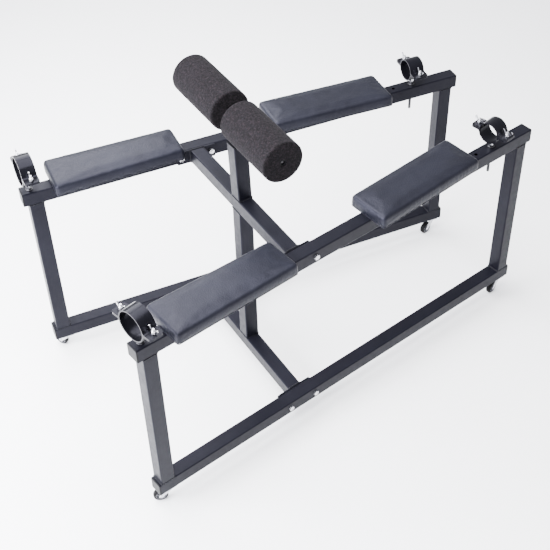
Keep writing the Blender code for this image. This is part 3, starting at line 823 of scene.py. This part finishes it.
def build_roller_tee():
    place = lean_frame()
    low, high = extents("roller_tee", place)
    axis = place.inverted() @ joint_point("near_foam_roller_spin")
    radius = high.z - axis.z
    stem = cylinder(radius * 0.96, low.z, axis.z, 48)
    outer = circle(radius, 48)
    inner = circle(radius - 0.002, 48)
    bar = moved(tube_prism(outer, inner, low.y, high.y, "Y"), shift(z=axis.z))
    cutter = moved(cylinder(radius - 0.0010, low.y, high.y, 48, axis="Y"), shift(z=axis.z))
    tee = gather([bar, carve(stem, [cutter])])
    piece("roller_tee_tubes", tee, COAT, place, node="roller_tee")
    rows = [Vector((x, y, axis.z - math.sqrt(max(0.0, radius**2 - (x * 0.985) ** 2))))
            for x, y in circle(radius, 90)]
    bead = sweep(with_tangents(rows), lambda i: WELD_R * 0.8 * (1 + 0.12 * math.sin(i * 1.6)), 8)
    piece("roller_tee_weld", bead, WELD, place, smooth=60)
    for side, out in SIDES.items():
        end = high.y if out > 0 else low.y
        plug = [(0.0, -0.012), (radius - 0.0021, -0.012), (radius - 0.0021, 0.0), (radius - 0.0003, 0.0)]
        plug += [(radius - 0.0004, 0.0012), (radius - 0.0012, 0.0018), (radius - 0.0035, 0.0018)]
        plug += [(radius - 0.0045, 0.0008), (radius - 0.0050, -0.0030), (0.0, -0.0030)]
        seat = place @ shift(0, end, axis.z) @ turn(-90 * out, "X")
        piece(f"roller_tee_{side}_plug", lathe(plug, 48), PLASTIC, seat, smooth=50)
        button = [(0.0, -0.0028), (0.0042, -0.0028), (0.0040, -0.0016), (0.0026, -0.0009), (0.0, -0.0007)]
        piece(f"roller_tee_{side}_rivet", lathe(button, 32), STEEL, seat, smooth=50)


# --- foam rollers


def foam_profile(bore, radius, length, edge):
    """The closed outline of half a foam tube's section, in small steps."""
    corners = [(bore, 0.0)] + arc((radius - edge, edge), edge, -90, 0, 6)
    corners += arc((radius - edge, length - edge), edge, 0, 90, 6) + [(bore, length)]
    return [(point.x, point.y) for point, tangent in spaced(corners, FOAM_STEP)]


def build_foam(side):
    node = f"{side}_foam_roller"
    out = SIDES[side]
    axis = joint_point(f"{node}_spin")
    low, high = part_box(node)
    radius = (high.z - low.z) / 2 - FOAM_LUMPS
    bore = tee_radius()
    length = high.y - low.y - 2 * FOAM_LUMPS
    bm = lathe(foam_profile(bore + TEE_CLEAR, radius, length, FOAM_EDGE), 150)
    for vertex in bm.verts:
        across = Vector((vertex.co.x, vertex.co.y, 0.0))
        if across.length < bore + 0.001:
            continue
        place = vertex.co + Vector((out * 3.0, 0.0, 0.0))
        swell = noise.noise(place * 14.0) * 0.55 + noise.noise(place * 55.0) * 0.25
        swell += noise.noise(place * 260.0) * 0.20
        direction = across.normalized()
        if across.length < radius - 0.006:
            direction = -Z if vertex.co.z < 0.05 else Z
        vertex.co += direction * swell * FOAM_LUMPS
    start = low.y if out < 0 else high.y
    seat = Matrix.Translation((axis.x, start - out * FOAM_LUMPS, axis.z)) @ turn(90 * out, "X")
    foam_tube = piece(f"{node}_foam", bm, FOAM, seat, node, 60, weighted=False, node=node)


# --- fasteners


def hex_solid(flats, low, high, chamfer_low=True):
    """A hexagon prism with its corners turned off at one end or both."""
    reach = flats / math.sqrt(3)
    drop = (reach - flats * 0.48) * 0.58
    if chamfer_low:
        profile = [(0.0, low), (flats * 0.48, low), (reach, low + drop), (reach, high - drop)]
    else:
        profile = [(0.0, low), (reach + 0.001, low), (reach + 0.001, high - drop - 0.00058)]
    profile += [(flats * 0.48, high), (0.0, high)]
    return carve(prism(circle(reach, 6), low, high), [lathe(profile, 60)], "INTERSECT")


def threaded(radius, low, high, pitch):
    """A threaded rod, its thread drawn as fine rings."""
    depth = pitch * 0.32
    profile = [(0.0, low), (radius - depth, low)]
    turns = max(1, int((high - low - 0.001) / pitch))
    for i in range(turns):
        z = low + 0.0005 + i * pitch
        profile += [(radius - depth, z), (radius, z + pitch * 0.42), (radius, z + pitch * 0.58)]
    profile += [(radius - depth, high - 0.0003), (radius - depth * 1.6, high), (0.0, high)]
    return lathe(profile, 28)


def washer(radius, bore, low, high):
    edge = 0.0003
    profile = [(bore, low), (radius - edge, low), (radius, low + edge), (radius, high - edge)]
    profile += [(radius - edge, high), (bore, high)]
    return lathe(profile, 40)


def build_flange_bolts():
    head = hex_solid(BOLT_FLATS, WASHER_THICK, BOLT_HEAD_TOP, False)
    for side, out in SIDES.items():
        place = side_frame(side)
        for level in ("upper", "lower"):
            plate_low, plate_high = plate_extents(f"{level}_crossbar", side)
            face = max(abs(plate_low.y), abs(plate_high.y)) + TUBE / 2
            for end in ENDS:
                node = f"{side}_{level}_{end}_bolt"
                low, high = extents(node, place)
                tail = high.y - low.y - BOLT_HEAD_TOP
                seat = place @ shift((low.x + high.x) / 2, out * TUBE / 2, (low.z + high.z) / 2)
                seat = seat @ turn(-90 * out, "X")
                roll = turn(17 if end == "wide" else 41)
                shapes = [head.copy(), washer(WASHER_R, M10_BORE, CLEAR, WASHER_THICK)]
                nut = hex_solid(BOLT_FLATS, -face - WASHER_THICK - BOLT_NUT, -face - WASHER_THICK)
                shapes += [nut, washer(WASHER_R, M10_BORE, -face - WASHER_THICK, -face)]
                shapes.append(threaded(M10_R, -tail, -face + 0.002, M10_PITCH))
                piece(f"{node}_set", gather(shapes), ZINC, seat @ roll, node=node)
    head.free()


# --- cushions


def smoothed(points, rounds):
    """Averages a closed row of points with their neighbours a few times."""
    for _ in range(rounds):
        count = len(points)
        points = [(points[i - 1] + points[i] * 2 + points[(i + 1) % count]) / 4 for i in range(count)]
    return points


def mark_soft(item):
    """Marks how far each point of a cover may be smoothed: little at its foot, fully near its top."""
    heights = [vertex.co.z for vertex in item.data.vertices]
    low, high = min(heights), max(heights)
    item.vertex_groups.clear()
    group = item.vertex_groups.new(name="soft")
    for vertex, height in zip(item.data.vertices, heights):
        group.add([vertex.index], min(1.0, PAD_CRISP + (height - low) / (high - low)), "REPLACE")


def start_cushion(side, end):
    """The padding before it is blown up: the CAD slab made smaller, remeshed and rounded.

    The cover is drawn down over the edge of the board, almost to the board's underside.
    """
    node = f"{side}_{end}_cushion"
    place = side_frame(side)
    low, high = extents(node, place)
    middle = (low + high) / 2
    size = high - low
    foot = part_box(f"{node}_board")[0].z + WRAP_LIFT
    tall = high.z - PAD_SHRINK - foot
    inverse = place.inverted()
    item = linked(f"{node}_cover", frame["nodes"][node].data.copy())
    for vertex in item.data.vertices:
        point = inverse @ vertex.co
        point.x = middle.x + (point.x - middle.x) * (1 - 2 * PAD_SHRINK / size.x)
        point.y = middle.y + (point.y - middle.y) * (1 - 2 * PAD_SHRINK / size.y)
        point.z = foot + (point.z - low.z) * tall / size.z
        vertex.co = place @ point
    apply(item, "REMESH", mode="VOXEL", voxel_size=VOXEL)
    mark_soft(item)
    apply(item, "SMOOTH", factor=0.5, iterations=PAD_RELAX, vertex_group="soft")
    return item


def blow_up(items):
    """Fills the covers by cloth simulation, their feet held on the boards.

    The foam inside takes up part of the travel, keeps a cover from sinking below its start
    and evens out small creases.
    """
    rest = {}
    outward = {}
    for item in items:
        rest[item.name] = [vertex.co.copy() for vertex in item.data.vertices]
        outward[item.name] = [vertex.normal.copy() for vertex in item.data.vertices]
        foot = min(point.z for point in rest[item.name])
        held = item.vertex_groups.new(name="held")
        low_ones = [i for i, point in enumerate(rest[item.name]) if point.z < foot + PAD_HELD]
        held.add(low_ones, 1.0, "REPLACE")
        cloth = item.modifiers.new("fill", "CLOTH")
        for key, value in CLOTH.items():
            setattr(cloth.settings, key, value)
        cloth.settings.effector_weights.gravity = 0.0
        cloth.collision_settings.use_collision = False
        cloth.point_cache.frame_start = 1
        cloth.point_cache.frame_end = PAD_FRAMES
    for step in range(1, PAD_FRAMES + 1):
        bpy.context.scene.frame_set(step)
    for item in items:
        mesh = evaluated(item)
        item.modifiers.clear()
        for vertex, start, normal in zip(mesh.vertices, rest[item.name], outward[item.name]):
            travel = (vertex.co - start) * PAD_GIVE
            rise = travel.dot(normal)
            if rise < -PAD_SINK:
                travel -= normal * (rise + PAD_SINK)
            if travel.length > PAD_CAP:
                travel *= PAD_CAP / travel.length
            vertex.co = start + travel
        item.data = mesh
        mark_soft(item)
        apply(item, "SMOOTH", factor=0.5, iterations=PAD_EVEN, vertex_group="soft")
    bpy.context.scene.frame_set(1)


def dress_cover(item, side, end):
    """Pleats at the corners, small pulls along the lower edge and dents from use on top."""
    place = side_frame(side)
    inverse = place.inverted()
    points = [inverse @ vertex.co for vertex in item.data.vertices]
    low, high = span(points)
    middle = (low + high) / 2
    height = high.z - low.z
    corners = []
    for sx, sy in QUARTERS:
        corner = Vector((middle.x + sx * ((high.x - low.x) / 2 - PLEAT_INSET),
                         middle.y + sy * ((high.y - low.y) / 2 - PLEAT_INSET)))
        corners.append((corner, Vector((sx, sy)).normalized()))
    number = SIDES[side] * 5.0 + (3.0 if end == "wide" else 0.0)
    for vertex, point in zip(item.data.vertices, points):
        share = (point.z - low.z) / height
        flat = Vector((point.x, point.y))
        fade = max(0.0, 1.0 - share * 1.25)
        for corner, diagonal in corners:
            away = flat - corner
            if not 0.001 <= away.length <= PLEAT_REACH or away.dot(diagonal) <= 0:
                continue
            aside = away.x * -diagonal.y + away.y * diagonal.x
            for offset in (-PLEAT_APART, PLEAT_APART):
                spot = (aside - offset) / (PLEAT_WIDTH * 0.5)
                depth = PLEAT_DEPTH * fade * math.exp(-spot * spot)
                point.x -= diagonal.x * depth
                point.y -= diagonal.y * depth
        if share > 0.8:
            point.z += DENT_DEPTH * noise.noise(Vector((point.x * 30.0, point.y * 30.0, number)))
        else:
            pull = noise.noise(Vector((point.x * 120.0, point.y * 120.0, 7.0))) * PULL_DEPTH * (1 - share)
            away = (flat - Vector((middle.x, middle.y))).normalized()
            point.x += away.x * pull
            point.y += away.y * pull
        vertex.co = place @ point
    item.data.update()


def build_cushions():
    covers = {}
    for side, end in CORNERS:
        covers[(side, end)] = start_cushion(side, end)
    blow_up(list(covers.values()))
    for (side, end), item in covers.items():
        node = f"{side}_{end}_cushion"
        apply(item, "SUBSURF", levels=1, render_levels=1)
        item.vertex_groups.clear()
        dress_cover(item, side, end)
        item.data.materials.clear()
        item.data.materials.append(VINYL)
        item.data.shade_smooth()
        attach(item, "frame")
        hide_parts(node)
        place = side_frame(side)
        build_hem(node)
        build_board(f"{node}_board", place)
        build_brackets(node, side, place)


def build_hem(node):
    """A piped hem round the foot of a cover."""
    outline, _ = plan_outline(node)
    rows = smoothed([point for point, tangent in spaced(outline, 0.003)], 6)
    rows = offset_outline(rows, -HEM_INSET)
    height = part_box(f"{node}_board")[0].z + WRAP_LIFT
    path = [(Vector((point.x, point.y, height)), tangent) for point, tangent in with_tangents(rows)]
    piece(f"{node}_hem", sweep(path, lambda i: PIPING_R, 8), VINYL, WORLD, smooth=60, weighted=False)


def build_board(node, place):
    """A wrapped cushion board, with staples under its edge that keep clear of the rail."""
    outline, foot = plan_outline(node)
    slab = prism([(point.x, point.y) for point in outline], foot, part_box(node)[1].z)
    soften(slab, 0.0022, 3, 50)
    piece(f"{node}_wrapped", slab, BOARD, WORLD, node=node)
    staples = []
    inverse = place.inverted()
    for point, tangent in spaced(offset_outline(outline, -STAPLE_INSET), STAPLE_STEP):
        spot = Vector((point.x, point.y, foot))
        if abs((inverse @ spot).y) > TUBE / 2 + STAPLE_CLEAR:
            staple = box((-0.005, -0.0006, -0.0006), (0.005, 0.0006, 0.0004))
            staples.append(moved(staple, turned_frame(spot, tangent)))
    piece(f"{node}_staples", gather(staples), ZINC, WORLD)


def build_brackets(node, side, place):
    """Four angle brackets that hold a board to its rail, each with two screw heads."""
    low, high = extents(f"{node}_board", place)
    rail_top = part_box(f"{side}_top_rail")[1].z
    leg, thick = 0.024, 0.0025
    outline = [(0.0, 0.0), (leg, 0.0), (leg, -thick), (thick + 0.002, -thick), (thick, -thick - 0.002)]
    outline += [(thick, -leg), (0.0, -leg)]
    head = [(0.0, 0.0), (0.0038, 0.0), (0.0036, 0.0012), (0.0022, 0.0022), (0.0, 0.0025)]
    for label, x in (("wide", low.x + BRACKET_INSET), ("narrow", high.x - BRACKET_INSET)):
        for edge, sign in (("inner", -SIDES[side]), ("outer", SIDES[side])):
            seat = place @ shift(x, sign * (TUBE / 2 + CLEAR), rail_top)
            if sign < 0:
                seat = seat @ turn(180)
            angle = soften(prism(outline, -0.009, 0.009, "X"), 0.0006, 2, 50)
            name = f"{node}_{label}_{edge}_bracket"
            piece(name, angle, COAT, seat)
            screws = [
                moved(lathe(head, 24), shift(0, thick, -leg * 0.62) @ turn(-90, "X")),
                moved(lathe(head, 24), shift(0, leg * 0.62, -thick) @ turn(180, "X")),
            ]
            piece(f"{name}_screws", gather(screws), ZINC, seat)


# --- clamp cuffs


def cuff_frame(name):
    """A cuff's own frame: its bore along X, its lugs along Y and its split plane at Z = 0."""
    side = name.split("_")[0]
    outer = joint_point(f"{name}_outer_wing_nut_turn")
    inner = joint_point(f"{name}_inner_wing_nut_turn")
    across = (outer - inner) * SIDES[side]
    middle = (outer + inner) / 2
    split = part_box(f"{name}_cuff_top")[0].z - CLEAR / 2
    origin = Vector((middle.x, middle.y, split))
    return turned_frame(origin, Vector((across.y, -across.x, 0.0)))


def half_shell(ring_r, lug_end, bolt_at, width):
    """The upper half of a cuff: an arch with a flat lug each side, its edges rounded."""
    split = CLEAR / 2
    lug_top = split + LUG_THICK
    reach = ring_r + LUG_FILLET
    fillet = (math.sqrt(reach**2 - (lug_top + LUG_FILLET) ** 2), lug_top + LUG_FILLET)
    rise = math.degrees(math.asin(fillet[1] / reach))
    right = [(lug_end, split), (lug_end, lug_top)] + arc(fillet, LUG_FILLET, -90, rise - 180, 6)
    arch = arc((0.0, 0.0), ring_r, rise, 180 - rise, 44)[1:-1]
    left = [(-y, z) for y, z in reversed(right)]
    bore = ring_r - SHELL_WALL
    start = math.degrees(math.asin(split / bore))
    inner = arc((0.0, 0.0), bore, 180 - start, start, 48)
    shell = prism(right + arch + left + inner, -width / 2, width / 2, "X")
    tips = []
    for edge in shell.edges:
        along = edge.verts[1].co - edge.verts[0].co
        if abs(edge.verts[0].co.y) > lug_end - 1e-5 and abs(along.x) < 1e-6 and abs(along.y) < 1e-6:
            tips.append(edge)
    bmesh.ops.bevel(shell, geom=tips, offset=LUG_CORNER, segments=8, profile=0.5, affect="EDGES")
    holes = [cylinder(CLAMP_HOLE_R, -0.02, 0.02, 28, (0.0, sign * bolt_at)) for sign in (-1, 1)]
    return soften(carve(shell, holes), EDGE, 2, 50)


def wing_nut(bore):
    """A wing nut standing on Z = 0, its wings along Y."""
    hub = lathe([(bore, 0.0), (0.0078, 0.0), (0.0082, 0.0006), (0.0080, 0.0020), (0.0066, 0.0085),
                 (0.0058, 0.0094), (bore, 0.0094)], 40)
    wings = []
    for sign in (-1, 1):
        outline = [(0.0050, 0.0012), (0.0078, 0.0014), (0.0110, 0.0040), (0.0146, 0.0086)]
        outline += [(0.0182, 0.0142), (0.0198, 0.0176), (0.0199, 0.0202), (0.0186, 0.0217)]
        outline += [(0.0164, 0.0219), (0.0144, 0.0206), (0.0122, 0.0172), (0.0094, 0.0128)]
        outline += [(0.0072, 0.0098), (0.0050, 0.0086)]
        outline = [(sign * y, z) for y, z in outline]
        if sign < 0:
            outline.reverse()
        wings.append(soften(prism(outline, -0.0019, 0.0019, "X"), 0.0008, 3, 60))
    whole = carve(hub, wings, "UNION")
    return carve(whole, [cylinder(bore, -0.01, 0.04, 40)])


def build_cuff_stem(name, place, low, rail_top, ring_low):
    """The threaded stem with its washer, its long nut and the weld under the lower shell."""
    body = f"{name}_cuff"
    stem = threaded(M10_R, low, rail_top + 0.004, M10_PITCH)
    piece(f"{body}_stem", stem, STEEL, place, body)
    nut_low = rail_top + CLEAR + COLLAR_THICK
    collar = washer(COLLAR_R, M10_BORE, rail_top + CLEAR, nut_low)
    piece(f"{body}_collar", collar, STEEL, place, body)
    long_nut = hex_solid(STEM_NUT_FLATS, nut_low, ring_low + 0.0012)
    piece(f"{body}_stem_nut", long_nut, ZINC, place @ turn(12), body)
    rim = with_tangents([Vector((x, y, 0.0)) for x, y in circle(STEM_WELD_R, 48)])
    bead = sweep(rim, lambda i: 0.0017 * (1 + 0.12 * math.sin(i * 1.3)), 8)
    piece(f"{body}_stem_weld", bead, WELD, place @ shift(z=ring_low - 0.0004), body, 60)


def build_clamp_bolt(name, label, place, y, top, nut):
    """A clamp bolt up through both lugs, and the wing nut that turns on it."""
    foot = -CLEAR / 2 - LUG_THICK
    head = lathe([(0.0, -0.0042), (0.0040, -0.0040), (0.0068, -0.0030), (0.0086, -0.0012),
                  (0.0090, 0.0), (0.0, 0.0)], 40)
    rod = threaded(M8_R, -0.0005, top - foot, M8_PITCH)
    seat = place @ shift(0, y, foot)
    piece(f"{name}_{label}_clamp_bolt", gather([head, rod]), ZINC, seat, f"{name}_cuff")
    node = f"{name}_{label}_wing_nut"
    seat = place @ shift(0, y, extents(node, place)[0].z)
    piece(f"{node}_casting", nut.copy(), ZINC, seat, node, 50, node=node)


def build_cuffs():
    nut = wing_nut(WING_NUT_BORE)
    for side, end in CORNERS:
        name = f"{side}_{end}"
        place = cuff_frame(name)
        low, high = extents(f"{name}_cuff_top", place)
        base_low, base_high = extents(f"{name}_cuff_base", place)
        outer = joint_point(f"{name}_outer_wing_nut_turn")
        inner = joint_point(f"{name}_inner_wing_nut_turn")
        bolt_at = (outer - inner).length / 2
        shell = half_shell(high.z, high.y, bolt_at, high.x - low.x)
        lower = moved(shell.copy(), turn(180, "X"))
        piece(f"{name}_cuff_upper_shell", shell, ENAMEL, place, f"{name}_cuff_upper_half", 40,
              node=f"{name}_cuff_top")
        piece(f"{name}_cuff_lower_shell", lower, ENAMEL, place, f"{name}_cuff", 40,
              node=f"{name}_cuff_base")
        rail_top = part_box(f"{side}_top_rail")[1].z - place.translation.z
        build_cuff_stem(name, place, base_low.z, rail_top, -high.z)
        for label, sign in (("outer", SIDES[side]), ("inner", -SIDES[side])):
            build_clamp_bolt(name, label, place, sign * bolt_at, base_high.z, nut)
    nut.free()


# --- casters


def build_caster_plate(name, place):
    """A plate under the rail with its ball race and four screw heads; returns its top's height."""
    low, high = extents(f"{name}_caster_plate", place)
    size = high.x - low.x
    sheet = soften(prism(round_rect(size, size, 0.005), -PLATE_SHEET, 0.0), 0.0005)
    foot = -PLATE_SHEET - RACE_DEPTH
    race = lathe([(0.0, foot), (RACE_R - 0.0026, foot), (RACE_R - 0.0008, foot + 0.0009),
                  (RACE_R, foot + 0.0024), (RACE_R + 0.0012, -PLATE_SHEET),
                  (RACE_R + 0.0012, -PLATE_SHEET * 0.5), (0.0, -PLATE_SHEET * 0.5)], 48)
    shapes = [sheet, race]
    head = [(0.0, -0.0022), (0.0016, -0.0021), (0.0030, -0.0012), (0.0034, 0.0), (0.0, 0.0)]
    for sx, sy in QUARTERS:
        shapes.append(moved(lathe(head, 24), shift(sx * size * 0.38, sy * size * 0.38, -PLATE_SHEET)))
    middle = (low + high) / 2
    seat = place @ shift(middle.x, middle.y, high.z)
    piece(f"{name}_caster_top_plate", gather(shapes), ZINC, seat, smooth=40, node=f"{name}_caster_plate")
    return high.z


def build_caster_fork(name, heading, reach, axle_z, crown_top, gap):
    """A fork with its crown, arms, king pin, seal and axle; gap is from its middle to an arm."""
    body = f"{name}_caster_fork"
    crown = lathe([(0.0, crown_top - 0.0026), (RACE_R - 0.0014, crown_top - 0.0026),
                   (RACE_R + 0.0002, crown_top - 0.0020), (RACE_R + 0.0003, crown_top - 0.0009),
                   (RACE_R - 0.0004, crown_top - 0.0002), (RACE_R - 0.0014, crown_top), (0.0, crown_top)], 48)
    arm = [(crown_top - 0.0014, -0.0124), (crown_top - 0.0095, -0.0092)]
    for i in range(15):
        angle = math.radians(205 + 205 * i / 14)
        arm.append((axle_z + FORK_FOOT_R * math.sin(angle), reach + FORK_FOOT_R * math.cos(angle)))
    arm += [(crown_top - 0.0070, 0.0184), (crown_top - 0.0014, 0.0150)]
    arms = []
    for sign in (-1, 1):
        low, high = sorted((sign * gap, sign * (gap + FORK_STEEL)))
        arms.append(soften(prism(arm, low, high, "Y"), 0.0005, 2, 50))
    pin = lathe([(0.0, crown_top - 0.0052), (0.0030, crown_top - 0.0050), (0.0046, crown_top - 0.0040),
                 (0.0050, crown_top - 0.0026), (0.0050, crown_top - 0.0015), (0.0, crown_top - 0.0015)], 32)
    fork = carve(crown, arms + [pin], "UNION")
    piece(f"{name}_caster_yoke", fork, ZINC, heading, body, 40, node=body)
    ball_r = RACE_R - 0.0012
    seal = lathe([(0.0, crown_top - 0.0001), (ball_r, crown_top - 0.0001),
                  (ball_r + 0.0004, crown_top + 0.0002), (ball_r, crown_top + 0.0004),
                  (0.0, crown_top + 0.0004)], 40)
    piece(f"{name}_caster_seal", seal, PLASTIC, heading, body)
    end = gap + FORK_STEEL
    rivet = lathe(mirrored([(0.0, -end - 0.0018), (0.0028, -end - 0.0016), (0.0044, -end - 0.0008),
                            (0.0046, -end - 0.0001), (0.0029, -end)]), 32, "Y")
    piece(f"{name}_caster_axle", rivet, ZINC, heading @ shift(reach, 0, axle_z), body, 40)


def build_caster_wheel(name, seat, radius, half):
    """A wheel about its axle: the tyre and a dished hub with six pockets."""
    body = f"{name}_caster_wheel"
    tread = [(radius * 0.74, -half * 0.98), (radius * 0.78, -half * 0.86), (radius * 0.91, -half * 0.90)]
    tread += [(radius * 0.97, -half * 0.74), (radius * 0.992, -half * 0.48), (radius, -half * 0.22)]
    piece(f"{name}_caster_tyre", lathe(mirrored(tread), 72, "Y"), RUBBER, seat, body, 40, node=body)
    disc = [(0.0034, -half), (0.0062, -half), (0.0072, -half * 0.62), (radius * 0.58, -half * 0.48)]
    disc += [(radius * 0.66, -half * 0.90), (radius * 0.74 - 0.0001, -half * 0.97)]
    spots = circle(radius * 0.44, 6)
    pockets = [cylinder(radius * 0.13, -2 * half, 2 * half, 24, spot, "Y") for spot in spots]
    hub = carve(lathe(mirrored(disc), 56, "Y"), pockets)
    piece(f"{name}_caster_hub", hub, DULL, seat, body, 40)


def build_caster(side, end):
    name = f"{side}_{end}"
    pivot = joint_point(f"{name}_caster_swivel")
    axle = joint_point(f"{name}_wheel_spin")
    trail = Vector((axle.x - pivot.x, axle.y - pivot.y, 0.0))
    reach = trail.length
    heading = turned_frame(Vector((pivot.x, pivot.y, 0.0)), trail)
    low, high = extents(f"{name}_caster_wheel", heading)
    half = (high.y - low.y) / 2
    crown_top = build_caster_plate(name, side_frame(side)) - PLATE_SHEET - RACE_DEPTH - RACE_GAP
    build_caster_fork(name, heading, reach, axle.z, crown_top, half + FORK_GAP)
    build_caster_wheel(name, heading @ shift(reach, 0, axle.z), axle.z - low.z, half)


# --- light, floor and camera


def aim(azimuth, elevation, distance, roll=0.0):
    """A view matrix that looks at the scene's middle; angles are in degrees."""
    a, e, r = (math.radians(angle) for angle in (azimuth, elevation, roll))
    back = Vector((math.sin(a) * math.cos(e), -math.cos(a) * math.cos(e), math.sin(e)))
    right = Vector((math.cos(a), math.sin(a), 0.0))
    up = back.cross(right)
    right, up = right * math.cos(r) + up * math.sin(r), up * math.cos(r) - right * math.sin(r)
    matrix = Matrix((right, up, back)).transposed().to_4x4()
    matrix.translation = Vector(LOOK_AT) + back * distance
    return matrix


def build_studio():
    bm = bmesh.new()
    bmesh.ops.create_grid(bm, x_segments=1, y_segments=1, size=FLOOR_SIZE)
    floor = linked("studio_floor", mesh_of(bm, "studio_floor"))
    material, tree, shader = plain("pale_floor", (0.93, 0.93, 0.94), 0.85, 0.0, 0.2)
    color_between(tree, shader, noise_texture(tree, 0.8, 2.0), (0.925, 0.928, 0.935), (0.945, 0.945, 0.950))
    floor.data.materials.append(material)
    floor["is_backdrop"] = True
    world = bpy.data.worlds.new("studio")
    world.use_nodes = True
    set_inputs(world.node_tree.nodes["Background"], Color=WORLD_COLOR, Strength=WORLD_STRENGTH)
    bpy.context.scene.world = world
    for name, (view, size, power, color) in LIGHTS.items():
        light = bpy.data.lights.new(name, "AREA")
        light.shape = "RECTANGLE"
        light.size, light.size_y = size
        light.energy = power
        light.color = color
        linked(name, light).matrix_world = aim(*view)


def build_camera():
    data = bpy.data.cameras.new("camera")
    data.sensor_width = 36.0
    data.lens = LENS
    data.shift_x = LENS_SHIFT
    camera = linked("camera", data)
    camera.matrix_world = aim(*CAMERA_VIEW, CAMERA_ROLL)
    bpy.context.scene.camera = camera


# --- the whole


build_rails()
for corner_side, corner_end in CORNERS:
    build_post(f"{corner_side}_{corner_end}_post", side_frame(corner_side))
build_post("lower_centre_post", WORLD)
for bar_level in ("upper", "lower"):
    build_crossbar(bar_level)
build_upper_post()
build_roller_tee()
for roller_side in SIDES:
    build_foam(roller_side)
build_flange_bolts()
build_cushions()
build_cuffs()
for corner_side, corner_end in CORNERS:
    build_caster(corner_side, corner_end)
build_studio()
build_camera()

bpy.context.view_layer.update()
VISUAL_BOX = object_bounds()
rows = {"cad": CAD_BOX, "visual": VISUAL_BOX}
{name: [[float(v) for v in corner] for corner in value] for name, value in rows.items()}
